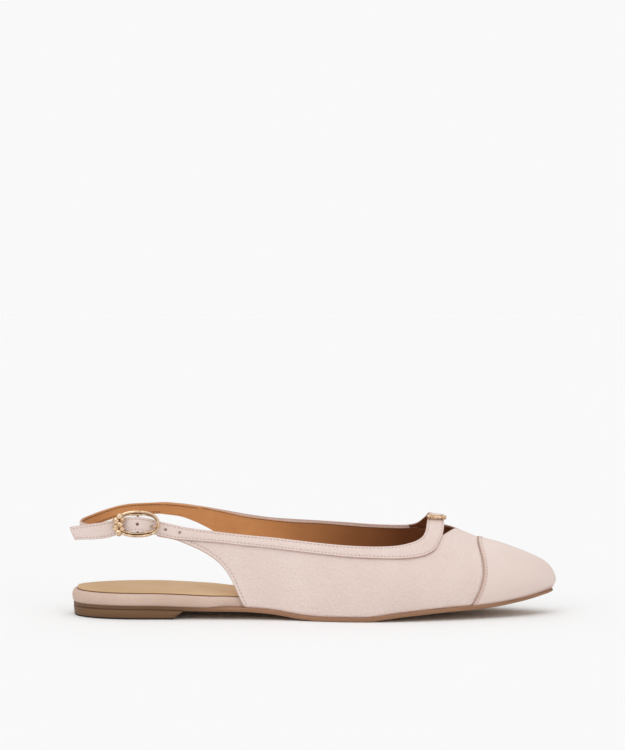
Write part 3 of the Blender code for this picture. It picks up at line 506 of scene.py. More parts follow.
def smooth_curve(names, rows, name):
    """A smooth curve through one column that never overshoots between two rows."""
    xs = column(names, rows, names[0])
    ys = column(names, rows, name)
    slopes = [(ys[i + 1] - ys[i]) / (xs[i + 1] - xs[i]) for i in range(len(xs) - 1)]
    tangents = [slopes[0]]
    for before, after in zip(slopes, slopes[1:]):
        same_way = before * after > 0
        tangents.append(2 * before * after / (before + after) if same_way else 0.0)
    tangents.append(slopes[-1])

    def value(x):
        if x <= xs[0]:
            return ys[0]
        if x >= xs[-1]:
            return ys[-1]
        i = bisect_right(xs, x) - 1
        span = xs[i + 1] - xs[i]
        t = (x - xs[i]) / span
        start, end = tangents[i] * span, tangents[i + 1] * span
        return (ys[i] * (2 * t ** 3 - 3 * t ** 2 + 1) + start * (t ** 3 - 2 * t ** 2 + t)
                + ys[i + 1] * (3 * t ** 2 - 2 * t ** 3) + end * (t ** 3 - t ** 2))

    return value


def curves(names, rows):
    """A smooth curve through each column of a table, by its name."""
    return {name: smooth_curve(names, rows, name) for name in names[1:]}


SIDES = {"lateral": -1.0, "medial": 1.0}
HALF_WIDTH = curves(SOLE_COLUMNS, SOLE_ROWS)
UNDERSIDE, BED = HALF_WIDTH.pop("underside"), HALF_WIDTH.pop("bed")
CANT = curves(CANT_COLUMNS, CANT_ROWS)["cant"]
CREST, CREST_Y, FULLNESS, BULGE = curves(LAST_COLUMNS, LAST_ROWS).values()
RIB_CREST, RIB_BOW = curves(RIB_COLUMNS, RIB_ROWS).values()
TOPLINE = curves(TOPLINE_COLUMNS, TOPLINE_ROWS)
REAR_EDGE = curves(REAR_COLUMNS, REAR_ROWS)
THROAT = curves(THROAT_COLUMNS, THROAT_ROWS)
CREASES = cells(CREASE_COLUMNS, CREASE_ROWS)


# The last and the sole's outline


def sole_top(station):
    """Height of the outsole's upper face."""
    share = max(0.0, (station - TOE_START) / (SOLE_TIP - TOE_START))
    return UNDERSIDE(station) + SOLE_THICKNESS + (SOLE_TIP_THICKNESS - SOLE_THICKNESS) * share ** 2


def feather(station):
    """Height at which the upper meets the outsole."""
    return sole_top(station) + TUCK


def swing(station):
    """The toe's turn towards the inner side."""
    return TOE_SWING * max(0.0, (station - TOE_START) / (SOLE_TIP - TOE_START)) ** 2


def toe_length(inset):
    """Length of the toe's outline, drawn in by an inset."""
    return SOLE_TIP - TOE_START - TOE_DRAW * inset


FEATHER_TIP = TOE_START + toe_length(FEATHER_INSET)


def section_height(share, fullness):
    """Height of a rounded section at a share of its half width, as a share of its full height."""
    return 0.0 if share >= 1 else (1 - share ** fullness) ** (1 / fullness)


def half_width(side, station, inset):
    """Half width of the outline, drawn in by an inset."""
    width = HALF_WIDTH[side](station) - inset
    rear = HEEL_REAR + inset
    if station < rear + HEEL_ROUND:
        reach = min(1.0, max(0.0, (rear + HEEL_ROUND - station) / HEEL_ROUND))
        width *= section_height(reach, HEEL_FULLNESS)
    if station > TOE_START:
        reach = min(1.0, (station - TOE_START) / toe_length(inset))
        width *= (1 - reach ** TOE_POWER) ** TOE_TAPER
    return width


def place(station, y, z):
    """A point in metres."""
    return Vector(((station - CENTRE_STATION) * MM, y * MM, z * MM))


def outline_stations(inset_rear, inset_tip, heel_steps, middle_steps, toe_steps):
    """Stations of the outline, closer together where it turns."""
    rear = HEEL_REAR + inset_rear
    start = rear + HEEL_ROUND
    stations = [rear + HEEL_ROUND * (1 - math.cos(math.pi / 2 * i / heel_steps)) for i in range(heel_steps)]
    stations += [start + (TOE_START - start) * i / middle_steps for i in range(middle_steps)]
    stations += [TOE_START + toe_length(inset_tip) * toe_share(i / toe_steps) for i in range(toe_steps + 1)]
    return stations


def toe_share(t):
    """Even steps along the toe's outline as shares of its length."""
    return 1 - (1 - t) ** TOE_STEP_POWER if t < 1 else 1.0


def ring(inset, height, steps, canted=False):
    """Points round the outline, outer side and inner side; canted rings rise to the inner side."""
    inset_of = inset if callable(inset) else (lambda station: inset)
    stations = outline_stations(inset_of(0), inset_of(SOLE_TIP), *steps)
    sides = {}
    for side, sign in SIDES.items():
        sides[side] = []
        for station in stations:
            if station < TOE_START:
                drawn = inset_of(station) if station > HEEL_REAR + inset_of(0) + HEEL_ROUND else inset_of(0)
            else:
                drawn = inset_of(SOLE_TIP)
            wide = half_width(side, station, drawn)
            rise = CANT(station) * (1 + sign * wide / HALF_WIDTH[side](station)) / 2 if canted else 0.0
            sides[side].append(place(station, sign * wide + swing(station), height(station) + rise))
    return sides["lateral"], sides["medial"]


def swell_at(station, rise):
    """How far the last's side bulges out at a share of its height."""
    return BULGE(station) * SWELL_TO_UNIT * rise * (1 - rise) ** 2


def rib_point(side, foot, share, offset):
    """A point on the last: foot station of its rib and share of the section.

    The share is 1 at the feather line and 0 at the crest. A positive offset
    gives a smaller last inside this one, so that walls nest.
    """
    if foot > FAN_START:
        rise = section_height(share, FULLNESS(foot))
        foot = min(foot + RIB_BOW(foot) * 4 * rise * (1 - rise), FEATHER_TIP)
    inset = FEATHER_INSET + offset
    foot_x = foot
    if foot > TOE_START:
        foot_x = TOE_START + toe_length(inset) * (foot - TOE_START) / (FEATHER_TIP - TOE_START)
    crest_x = RIB_CREST(foot) if foot > FAN_START else foot
    foot_y = SIDES[side] * half_width(side, foot_x, inset) + swing(foot_x)
    ridge = CREST_Y(crest_x)
    toe = max(0.0, (foot - FAN_START) / (FEATHER_TIP - FAN_START))
    fullness = FULLNESS(foot_x)
    fullness += (TOE_BOX_FULLNESS - fullness) * toe ** TOE_BOX_POWER
    rise = section_height(share, fullness)
    swell = swell_at(foot_x, rise)
    run = Vector((foot_x - crest_x, foot_y - ridge))
    outward = run.normalized()
    x = crest_x + run.x * share + outward.x * swell
    y = ridge + run.y * share + outward.y * swell
    base = feather(foot_x)
    return Vector((x, y, base + (CREST(x) - offset - base) * rise))


def halved(low, high, holds):
    """The value between two at which a test that holds at the low one stops holding."""
    for _ in range(40):
        middle = (low + high) / 2
        if holds(middle):
            low = middle
        else:
            high = middle
    return (low + high) / 2


def share_at_height(side, foot, height, offset):
    """The share of the section at which a rib reaches a height."""
    return halved(0.0, 1.0, lambda share: rib_point(side, foot, share, offset).z > height)


def inside_opening(side, point):
    """True where the collar, throat or notch leaves the last bare."""
    if point.x < THROAT_START:
        return point.z > TOPLINE[side](point.x)
    if point.x >= NOTCH_TIP:
        return False
    return abs(point.y - CREST_Y(point.x)) < THROAT[side](point.x)


def rib_span(side, foot):
    """Shares of the section at the upper's lower and upper edge on one rib."""
    low_edge = 1.0
    if foot < REAR_ROWS[-1][0]:
        low_edge = share_at_height(side, foot, REAR_EDGE[side](foot), 0.0)
    if foot < THROAT_START:
        return low_edge, share_at_height(side, foot, TOPLINE[side](foot), 0.0)
    if RIB_CREST(foot) >= NOTCH_TIP - 0.01:
        return low_edge, 0.0
    opening = halved(0.0, 0.95, lambda share: inside_opening(side, rib_point(side, foot, share, 0.0)))
    return low_edge, opening


def rib_row(side, foot, offset, rows):
    """Points of one rib, evenly spaced from its lower to its upper edge."""
    low_turn, top_turn = (math.acos(min(1.0, edge)) for edge in rib_span(side, foot))
    turns = [low_turn + (top_turn - low_turn) * (i / RIB_FINE) for i in range(RIB_FINE + 1)]
    shares = [math.cos(turn) for turn in turns]
    outer = [rib_point(side, foot, share, 0.0) for share in shares]
    lengths = [0.0]
    for a, b in zip(outer, outer[1:]):
        lengths.append(lengths[-1] + (b - a).length)
    points = []
    for j in range(rows + 1):
        target = lengths[-1] * j / rows
        k = min(RIB_FINE - 1, bisect_right(lengths, target + TINY) - 1)
        step = lengths[k + 1] - lengths[k]
        t = (target - lengths[k]) / step if step > 0 else 0.0
        share = max(0.0, shares[k] + (shares[k + 1] - shares[k]) * t)
        points.append(rib_point(side, foot, share, offset))
    return points


def notch_foot():
    """Foot station of the rib that meets the crest at the notch's tip."""
    return halved(FAN_START, SEAM_FOOT, lambda foot: RIB_CREST(foot) < NOTCH_TIP)


def upper_feet():
    """Foot stations of the upper's ribs, with the wall's offset at each."""
    feet = list(REAR_FEET)
    middle = FRONT_FEET[0] - REAR_FEET[-1]
    feet += [REAR_FEET[-1] + middle * i / MIDDLE_FEET for i in range(1, MIDDLE_FEET)]
    feet += FRONT_FEET
    tip = notch_foot()
    feet = refine(feet + [tip], RIB_SPACING)
    notch = len(feet) - 1
    feet += refine([tip, (tip + SEAM_FOOT - CAP_LAP) / 2, SEAM_FOOT - 2 * CAP_LAP], RIB_SPACING)[1:]
    ribs = [(foot, 0.0) for foot in feet]
    ribs += [(foot, CAP_STEP) for foot in [SEAM_FOOT - CAP_LAP] + cap_feet()[1:]]
    return ribs, notch


def cap_feet():
    """Foot stations of the toe cap's ribs, from the seam to the tip."""
    shares = [1 - (1 - i / CAP_FEET) ** CAP_FOOT_POWER for i in range(CAP_FEET + 1)]
    return [SEAM_FOOT + (FEATHER_TIP - SEAM_FOOT) * share for share in shares]


def last_shell(work, ribs, offset, rows, closed_from):
    """An open surface on the last, both sides, joined along the crest and the tip.

    closed_from is the first rib that reaches the crest.
    """
    grids = {side: [] for side in SIDES}
    for side, grid in grids.items():
        for i, (foot, step) in enumerate(ribs):
            line = []
            for j, point in enumerate(rib_row(side, foot, offset + step, rows)):
                joined = i == len(ribs) - 1 or (i >= closed_from and j == rows)
                if side == "medial" and joined:
                    line.append(grids["lateral"][i][j])
                else:
                    line.append(work.verts.new(place(*point)))
            grid.append(line)
    for side, grid in grids.items():
        for before, after in zip(grid, grid[1:]):
            for j in range(rows):
                corners = (before[j], after[j], after[j + 1], before[j + 1])
                work.faces.new(corners if side == "lateral" else corners[::-1])


def join_shells(work, outer_verts, inner_verts):
    """Close the open borders between two matching surfaces."""
    partner = dict(zip(outer_verts, inner_verts))
    borders = [edge for edge in work.edges if edge.is_boundary and edge.verts[0] in partner]
    for edge in borders:
        a, b = edge.verts
        work.faces.new((a, b, partner[b], partner[a]))


def ribbon_normals(rows):
    """Unit normals of a ribbon's reference rows, by finite differences."""
    normals = []
    for i, row in enumerate(rows):
        before = rows[max(0, i - 1)]
        after = rows[min(len(rows) - 1, i + 1)]
        line = []
        for j in range(len(row)):
            along = after[j] - before[j]
            across = row[min(len(row) - 1, j + 1)] - row[max(0, j - 1)]
            line.append(along.cross(across).normalized())
        normals.append(line)
    return normals


def windows(items):
    """Each step of a run with its neighbours: before, start, end and after."""
    padded = [items[0], *items, items[-1]]
    return zip(padded, padded[1:], padded[2:], padded[3:])


def between_points(a, b, c, d, t):
    """A point from b to c on the smooth curve through four points."""
    return 0.5 * (2 * b + (c - a) * t + (2 * a - 5 * b + 4 * c - d) * t ** 2
                  + (3 * b - a - 3 * c + d) * t ** 3)


def even_rows(rows, spacing):
    """A smooth run of rows through the given ones, spaced along the strap."""
    middles = [sum(row, Vector((0, 0, 0))) / len(row) for row in rows]
    dense = []
    for i, window in enumerate(windows(rows)):
        pieces = max(1, round((middles[i + 1] - middles[i]).length / spacing))
        for k in range(pieces):
            dense.append([between_points(*corners, k / pieces) for corners in zip(*window)])
    return dense + [rows[-1]]


def band_row(side, top, low):
    """Three points across a strap on the last, from top edge to lower edge."""
    (top_x, top_share), (low_x, low_share) = top, low
    return [rib_on_plane(side, top_x + (low_x - top_x) * t, top_share + (low_share - top_share) * t)
            for t in ACROSS]


def rib_on_plane(side, station, share):
    """The last's surface at a station, as if every rib stood upright there."""
    if station <= FAN_START:
        return rib_point(side, station, share, 0.0)
    rise = section_height(share, FULLNESS(station))
    foot_y = SIDES[side] * half_width(side, station, FEATHER_INSET) + swing(station)
    ridge = CREST_Y(station)
    y = ridge + (foot_y - ridge) * share + SIDES[side] * swell_at(station, rise)
    base = feather(station)
    return Vector((station, y, base + (CREST(station) - base) * rise))


def share_on_plane(side, station, height):
    """The share of an upright section at which the last reaches a height."""
    return halved(0.0, 1.0, lambda share: rib_on_plane(side, station, share).z > height)


def band_rows(side, table):
    """Rows of a topline band on the last."""
    rows = []
    for cell in cells(BAND_COLUMNS, table):
        edges = [(cell[f"{edge}_station"], cell[f"{edge}_z"]) for edge in ("top", "low")]
        rows.append(band_row(side, *[(x, share_on_plane(side, x, z)) for x, z in edges]))
    return rows


def crossing_rows(side, table):
    """Rows of the strap over the instep, lifted where it bridges the notch."""
    rows = []
    for cell in cells(CROSSING_COLUMNS, table):
        rear, front = ((cell[f"{edge}_station"], cell[f"{edge}_share"]) for edge in ("rear", "front"))
        row = band_row(side, rear, front)
        for point, t in zip(row, ACROSS):
            point.z += cell["rear_lift"] + (cell["front_lift"] - cell["rear_lift"]) * t
        rows.append(row)
    return rows


def free_rows():
    """The lateral strap from its tip to the quarter."""
    rows = []
    for cell in cells(FREE_COLUMNS, FREE_ROWS):
        top = Vector((cell["top_station"], cell["y"], cell["top_z"]))
        low = Vector((cell["low_station"], cell["y"], cell["low_z"]))
        rows.append([top, (top + low) / 2, low])
    return rows


def bow_over_bar(rows):
    """The rows bowed outward over the buckle's bar."""
    for point in (point for row in rows for point in row):
        away = (point.x - BAR_STATION) / STRAP_BOW_REACH
        if abs(away) < 1:
            point.y -= STRAP_BOW * math.cos(math.pi / 2 * away) ** 2
    return rows


def band_depths(rows):
    """Depths below and above the reference: on the last it lies outside the wall."""
    depths = []
    half = STRAP_THICKNESS / 2
    for row in rows:
        share = min(1.0, max(0.0, (row[1].x - QUARTER_REAR + BAND_RISE_START) / BAND_RISE_LENGTH))
        depths.append((-half + (BAND_INNER + half) * share, half + (BAND_OUTER - half) * share))
    return depths


def squared_off(value, power):
    """A sine or cosine raised to a power, with its sign kept."""
    return math.copysign(abs(value) ** power, value)


def sling_rows():
    """The sling from the medial quarter round the heel to the buckle's bar."""
    sling = curves(SLING_COLUMNS, SLING_ROWS)
    rows = []
    for i in range(SLING_STEPS + 1):
        turn = 180.0 * i / SLING_STEPS
        angle = math.radians(turn)
        x = SLING_CENTRE - (SLING_CENTRE - SLING_REAR) * math.sin(angle) ** SLING_ROUNDNESS
        y = SLING_HALF_WIDTH * squared_off(math.cos(angle), SLING_ROUNDNESS)
        top = Vector((x, y, sling["top_z"](turn)))
        low = Vector((x, y, sling["top_z"](turn) - sling["width"](turn)))
        rows.append([top, (top + low) / 2, low])
    return rows


def eye_rows():
    """The sling's end, curled round the buckle's bar."""
    rows = []
    for angle in map(math.radians, EYE_TURNS):
        x = BAR_STATION + EYE_RADIUS * math.cos(angle)
        y = BAR_Y - EYE_RADIUS * math.sin(angle)
        rows.append([Vector((x, y, BAR_Z + up)) for up in (EYE_HALF_WIDTH, 0.0, -EYE_HALF_WIDTH)])
    return rows


def on_buckle(along, up, out):
    """A point in the buckle's own frame: along the strap, up, and out from the foot."""
    return Vector((BAR_STATION + along, BAR_Y - out, BAR_Z + up))


def between(rows, place_in_rows, corner):
    """A corner point between two rows, at a fractional row number."""
    index = int(place_in_rows)
    return rows[index][corner].lerp(rows[index + 1][corner], place_in_rows - index)


def footbed_inset(extra):
    """Inset of the footbed: full at the seat, inside the upper's wall in front."""
    waist = FEATHER_INSET + WALL + FOOTBED_CLEARANCE + max(0.0, extra)
    toe = waist + CAP_STEP
    rows = list(zip((0, *FOOTBED_STATIONS), (extra, extra, waist, waist, toe, toe)))
    return smooth_curve(("station", "inset"), rows, "inset")


# Materials


def srgb(red, green, blue):
    """Linear colour from 0-255 screen values."""
    linear = []
    for value in (red, green, blue):
        share = value / 255
        linear.append(share / 12.92 if share <= 0.04045 else ((share + 0.055) / 1.055) ** 2.4)
    return (*linear, 1.0)


class Nodes:
    """A node tree, built with short calls."""

    def __init__(self, owner, coordinates):
        owner.use_nodes = True
        self.tree = owner.node_tree
        self.place = self.node("ShaderNodeTexCoord").outputs[coordinates]

    def node(self, kind, **inputs):
        node = self.tree.nodes.new(kind)
        for name, value in inputs.items():
            self.feed(node.inputs[name.replace("_", " ")], value)
        return node

    def feed(self, socket, value):
        if isinstance(value, bpy.types.NodeSocket):
            self.tree.links.new(value, socket)
        else:
            socket.default_value = value

    def axis(self, name):
        return self.node("ShaderNodeSeparateXYZ", Vector=self.place).outputs[name]

    def noise(self, scale, detail=2.0, roughness=0.5, stretch=None):
        node = self.node("ShaderNodeTexNoise", Scale=scale, Detail=detail, Roughness=roughness)
        place = self.place
        if stretch:
            place = self.node("ShaderNodeMapping", Vector=self.place, Scale=stretch).outputs["Vector"]
        self.feed(node.inputs["Vector"], place)
        return node.outputs["Fac"]

    def mapped(self, value, low, high, new_low, new_high):
        """The value moved from one range to another, and held inside it."""
        node = self.node("ShaderNodeMapRange", Value=value, From_Min=low, From_Max=high,
                         To_Min=new_low, To_Max=new_high)
        return node.outputs["Result"]

    def maths(self, operation, first, second):
        node = self.node("ShaderNodeMath")
        node.operation = operation
        self.feed(node.inputs[0], first)
        self.feed(node.inputs[1], second)
        return node.outputs["Value"]


class Shader(Nodes):
    """A material's node tree, from its patterns to the finished surface."""

    def __init__(self, name):
        self.material = bpy.data.materials.new(name)
        super().__init__(self.material, "Object")
        self.surface = self.tree.nodes["Principled BSDF"]

    def pebbles(self, scale, softness):
        """Rounded cells: high in the middle, low in the creases between them."""
        node = self.node("ShaderNodeTexVoronoi", Vector=self.place, Scale=scale, Randomness=0.9)
        node.feature = "SMOOTH_F1"
        node.inputs["Smoothness"].default_value = softness
        return self.mapped(node.outputs["Distance"], 0.0, 0.75, 1.0, 0.0)

    def mix(self, share, first, second):
        node = self.node("ShaderNodeMix")
        node.data_type = "RGBA"
        for index, value in ((0, share), (6, first), (7, second)):
            self.feed(node.inputs[index], value)
        return node.outputs[2]

    def attribute(self, name):
        node = self.node("ShaderNodeAttribute")
        node.attribute_name = name
        return node.outputs["Fac"]

    def relief(self, *layers):
        """Bumps laid one over another: height, depth in metres and strength."""
        normal = None
        for height, distance, strength in layers:
            node = self.node("ShaderNodeBump", Height=height, Distance=distance, Strength=strength)
            if normal is not None:
                self.feed(node.inputs["Normal"], normal)
            normal = node.outputs["Normal"]
        return normal

    def finish(self, colour, roughness, normal, **constants):
        inputs = {"Base_Color": colour, "Roughness": roughness, "Normal": normal, **constants}
        for name, value in inputs.items():
            self.feed(self.surface.inputs[name.replace("_", " ")], value)
        return self.material


def grained_leather(name, light, dark, edge, pebble, depth, roughness):
    """Drum-dyed leather: pebbled grain, fine pores, soft patches and a darker cut edge."""
    shader = Shader(name)
    patches = shader.mapped(shader.noise(28, 3.0), 0.3, 0.7, 0.0, 1.0)
    cobbles = shader.pebbles(pebble, 0.35)
    valleys = shader.mapped(cobbles, 0.1, 0.55, 0.45, 0.0)
    body = shader.mix(valleys, shader.mix(patches, light, dark), dark)
    colour = shader.mix(shader.attribute("edge"), body, edge)
    pores, hollows = shader.noise(3600), shader.noise(260)
    relief = shader.relief((cobbles, depth, 0.8), (pores, 0.00003, 0.35), (hollows, 0.0002, 0.35))
    worn = shader.maths("MULTIPLY", cobbles, shader.noise(90))
    gloss = shader.mapped(worn, 0.0, 0.6, roughness + 0.1, roughness - 0.05)
    return shader.finish(colour, gloss, relief, Specular_IOR_Level=0.42,
                         Coat_Weight=0.06, Coat_Roughness=0.35)


def smooth_lining(name, light, dark, roughness, throat=None, edge=None):
    """Smooth lining leather: faint fibres, tone that wanders, darker towards the throat (partly deeper dye,
    partly painted shade of the shoe's dark inside), and a dark cut edge, on the sock a painted shadow line.
    """
    shader = Shader(name)
    patches = shader.mapped(shader.noise(22, 4.0, 0.6), 0.3, 0.7, 0.0, 1.0)
    fibres = shader.noise(420, 3.0, 0.6, stretch=(0.35, 1.0, 1.6))
    colour = shader.mix(shader.mapped(fibres, 0.35, 0.65, 0.0, 0.3), shader.mix(patches, light, dark), dark)
    # Painted shade: darker forward towards the throat, partly the lining's deeper tone and partly the shade
    # inside the toe.
    if throat:
        colour = shader.mix(shader.mapped(shader.axis("X"), -0.02, 0.05, 0.0, 1.0), colour, throat)
    # The edge colour, given only by the sock, is painted shadow: the dark line of the gap where the sock
    # meets the footbed's rim.
    if edge:
        colour = shader.mix(shader.attribute("edge"), colour, edge)
    relief = shader.relief((fibres, 0.00012, 0.4), (shader.noise(2600), 0.00003, 0.3))
    gloss = shader.mapped(patches, 0.0, 1.0, roughness, roughness + 0.1)
    return shader.finish(colour, gloss, relief, Specular_IOR_Level=0.35)


def sole_leather(name, edge_light, edge_dark, under, seat_light, seat_dark):
    """Sole: a waxed edge with fine layers along it, and a plainer, scuffed underside."""
    shader = Shader(name)
    normal = shader.node("ShaderNodeNewGeometry").outputs["Normal"]
    upward = shader.node("ShaderNodeSeparateXYZ", Vector=normal).outputs["Z"]
    below = shader.mapped(upward, -0.75, -0.95, 0.0, 1.0)
    layers = shader.noise(260, 3.0, 0.6, stretch=(0.12, 0.12, 9.0))
    streak = shader.mapped(layers, 0.3, 0.7, 0.0, 1.0)
    seat = shader.mapped(shader.axis("X"), -0.075, -0.045, 1.0, 0.0)
    light, dark = shader.mix(seat, edge_light, seat_light), shader.mix(seat, edge_dark, seat_dark)
    scuffs = shader.noise(70, 5.0, 0.65, stretch=(0.4, 1.0, 1.0))
    floor_side = shader.mix(shader.mapped(scuffs, 0.4, 0.75, 0.0, 0.5), under, edge_dark)
    colour = shader.mix(below, shader.mix(streak, light, dark), floor_side)
    relief = shader.relief((layers, 0.0002, 0.4), (shader.noise(1800, 3.0), 0.00006, 0.5))
    gloss = shader.mapped(layers, 0.3, 0.7, 0.45, 0.6)
    return shader.finish(colour, gloss, relief, Specular_IOR_Level=0.3)


def stacked_leather(name, light, dark, rubber_and_shadow):
    """Heel of thin leather lifts, with a rubber top piece against the floor, its near-black colour also
    painted contact shadow.
    """
    shader = Shader(name)
    height = shader.axis("Z")
    wander = shader.maths("MULTIPLY", shader.noise(40), 0.00012)
    level = shader.maths("MULTIPLY", shader.maths("ADD", height, wander), 1 / LIFT_PITCH)
    joint = shader.mapped(shader.maths("FRACT", level, 1.0), 0.0, 0.16, 1.0, 0.0)
    streaks = shader.noise(200, 4.0, 0.6, stretch=(0.15, 0.15, 6.0))
    body = shader.mix(shader.mapped(streaks, 0.3, 0.7, 0.0, 1.0), light, dark)
    body = shader.mix(shader.maths("MULTIPLY", joint, 0.55), body, dark)
    # The top piece's band: partly rubber and partly painted contact shadow, near black.
    foot = shader.mapped(height, TOP_PIECE - 0.00005, TOP_PIECE + 0.00005, 1.0, 0.0)
    sunk = shader.maths("MULTIPLY", joint, -1.0)
    relief = shader.relief((sunk, 0.00008, 0.8), (streaks, 0.00015, 0.4))
    gloss = shader.mapped(foot, 0.0, 1.0, 0.5, 0.75)
    return shader.finish(shader.mix(foot, body, rubber_and_shadow), gloss, relief, Specular_IOR_Level=0.25)


def polished_gold(name, bright, deep, groove):
    """Plated metal: warm, softly brushed, with tarnish in clouds and painted shade in its grooves."""
    shader = Shader(name)
    cloud = shader.mapped(shader.noise(420, 3.0), 0.35, 0.7, 0.0, 0.75)
    brushed = shader.noise(1500, 2.0, 0.5, stretch=(0.2, 1.0, 1.0))
    # Marked vertices take the groove colour: painted shade where the frame's groove would lie in shadow.
    colour = shader.mix(shader.attribute("edge"), shader.mix(cloud, bright, deep), groove)
    gloss = shader.mapped(brushed, 0.3, 0.7, 0.14, 0.28)
    return shader.finish(colour, gloss, shader.relief((brushed, 0.00002, 0.25)), Metallic=1.0)


def spun_thread(name, light, dark):
    """Waxed thread with a fine twist."""
    shader = Shader(name)
    twist = shader.node("ShaderNodeTexWave", Vector=shader.place, Scale=1400.0, Distortion=2.0)
    twist.bands_direction = "DIAGONAL"
    strand = twist.outputs["Fac"]
    gloss = shader.mapped(strand, 0.0, 1.0, 0.62, 0.5)
    return shader.finish(shader.mix(strand, dark, light), gloss, shader.relief((strand, 0.00005, 0.6)))


def studio_floor(name, colour):
    """Matt paper with hardly any tooth."""
    shader = Shader(name)
    tooth = shader.noise(900)
    gloss = shader.mapped(tooth, 0.0, 1.0, 0.95, 1.0)
    return shader.finish(colour, gloss, shader.relief((tooth, 0.00005, 0.1)), Specular_IOR_Level=0.0)


# Mesh building


def linked(name, data):
    """A new object in the scene."""
    thing = bpy.data.objects.new(name, data)
    bpy.context.scene.collection.objects.link(thing)
    return thing


def add_piece(name, work, material, slot, replaced=(), levels=0, edge=None):
    """A finished piece: outward faces, smooth shading, material, body and replaced nodes; the slot is not
    used.
    """
    bmesh.ops.recalc_face_normals(work, faces=work.faces)
    mesh = bpy.data.meshes.new(name)
    work.verts.index_update()
    marks = [1.0 if edge and vertex in edge else 0.0 for vertex in work.verts]
    work.to_mesh(mesh)
    work.free()
    if edge is not None:
        mesh.attributes.new("edge", "FLOAT", "POINT").data.foreach_set("value", marks)
    mesh.shade_smooth()
    mesh.materials.append(material)
    piece = linked(name, mesh)
    if levels:
        smooth = piece.modifiers.new("subdivision", "SUBSURF")
        smooth.levels = smooth.render_levels = levels
    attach(piece, "root")
    if replaced:
        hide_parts(*replaced)
    return piece


def skin(work, loops):
    """Quads between each closed loop and the next."""
    for before, after in zip(loops, loops[1:]):
        for k in range(len(before)):
            n = (k + 1) % len(before)
            work.faces.new((before[k], before[n], after[n], after[k]))


def tube(work, loops):
    """Skin a row of closed loops and cap its two ends."""
    skin(work, loops)
    work.faces.new(loops[0][::-1])
    work.faces.new(loops[-1])


def circle(work, centre, side, up, radius, sides):
    """A closed loop of vertices round a centre."""
    loop = []
    for k in range(sides):
        angle = 2 * math.pi * k / sides
        reach = (side * math.cos(angle) + up * math.sin(angle)) * radius
        loop.append(work.verts.new(place(*(centre + reach))))
    return loop


def refine(values, spacing):
    """Insert even steps between key values so that no step is longer than the spacing."""
    fine = []
    for start, end in zip(values, values[1:]):
        steps = max(1, math.ceil((end - start) / spacing))
        fine += [start + (end - start) * k / steps for k in range(steps)]
    return fine + [values[-1]]


def surface(side, foot, share, offset):
    """A point on the last and the outward normal there."""
    def at(near_foot, near_share):
        return rib_point(side, near_foot, near_share, offset)

    along = at(min(foot + FOOT_STEP, FEATHER_TIP), share) - at(foot - FOOT_STEP, share)
    up = at(foot, max(0.0, share - SHARE_STEP)) - at(foot, min(1.0, share + SHARE_STEP))
    normal = along.cross(up).normalized()
    return at(foot, share), normal if side == "lateral" else -normal


def crease_relief(side, point):
    """Soft troughs with a raised lip on each side, placed one by one; millimetres outward."""
    total = 0.0
    for cell in CREASES:
        if cell["side"] != side:
            continue
        angle = math.radians(cell["tilt"])
        x, z = point.x - cell["station"], point.z - cell["z"]
        reach = (x * math.cos(angle) + z * math.sin(angle)) / (cell["length"] / 2)
        across = (z * math.cos(angle) - x * math.sin(angle)) / cell["width"]
        if abs(reach) < 1 and abs(across) < 3:
            fade = (1 - reach * reach) ** 2
            total -= cell["depth"] * fade * (1 - 0.8 * across * across) * math.exp(-across * across)
    return total


def eased(value, start, end):
    """0 at the start, 1 at the end, with a soft start and finish."""
    share = min(1.0, max(0.0, (value - start) / (end - start)))
    return share * share * (3 - 2 * share)


def pared(side, spot):
    """How far the leather's upper edge stays below the lining's, where only lining shows from inside."""
    if side == "lateral":
        return 0.0
    start, full, until, gone = PARED_EDGE
    return PARED * eased(spot.x, start, full) * (1 - eased(spot.x, until, gone))


def last_skin(name, ribs, outer, inner, closed_from, material, slot, paring=False, **options):
    """A wall on the last between two offsets, with the creases pressed into both faces."""
    work = bmesh.new()
    layers = []
    for offset in (outer, inner):
        start = len(work.verts)
        last_shell(work, ribs, offset, UPPER_STEPS, closed_from)
        layers.append(list(work.verts)[start:])
        work.verts.ensure_lookup_table()
    borders = {v for edge in work.edges if edge.is_boundary for v in edge.verts}
    join_shells(work, *layers)
    bmesh.ops.recalc_face_normals(work, faces=work.faces)
    work.normal_update()
    moves = []
    for layer, way in zip(layers, (1.0, -1.0)):
        for k, vertex in enumerate(layer):
            spot = vertex.co / MM
            spot.x += CENTRE_STATION
            side = "lateral" if spot.y < CREST_Y(spot.x) else "medial"
            move = vertex.normal * (crease_relief(side, spot) * way * MM)
            if paring and vertex in borders and k % (UPPER_STEPS + 1) == UPPER_STEPS:
                move += (layer[k - 1].co - vertex.co).normalized() * (pared(side, spot) * MM)
            moves.append((vertex, move))
    for vertex, move in moves:
        vertex.co += move
    return add_piece(name, work, material, slot, edge=borders, levels=1, **options)


# Stitches


def walk(path):
    """Length of a path of (point, normal) and a function giving point, normal and tangent along it."""
    marks = [0.0]
    for (a, _), (b, _) in zip(path, path[1:]):
        marks.append(marks[-1] + (b - a).length)

    def at(distance):
        i = min(len(path) - 2, max(0, bisect_right(marks, distance) - 1))
        span = marks[i + 1] - marks[i]
        t = (distance - marks[i]) / span if span else 0.0
        (a, first), (b, second) = path[i], path[i + 1]
        return a + (b - a) * t, first.lerp(second, t).normalized(), (b - a).normalized()

    return marks[-1], at


def beside(path, distance):
    """The path moved sideways in its surface, to the left of its direction seen from outside."""
    moved = []
    for i, (point, normal) in enumerate(path):
        ahead, behind = path[min(i + 1, len(path) - 1)][0], path[max(i - 1, 0)][0]
        sideways = normal.cross((ahead - behind).normalized())
        moved.append((point + sideways * distance, normal))
    return moved


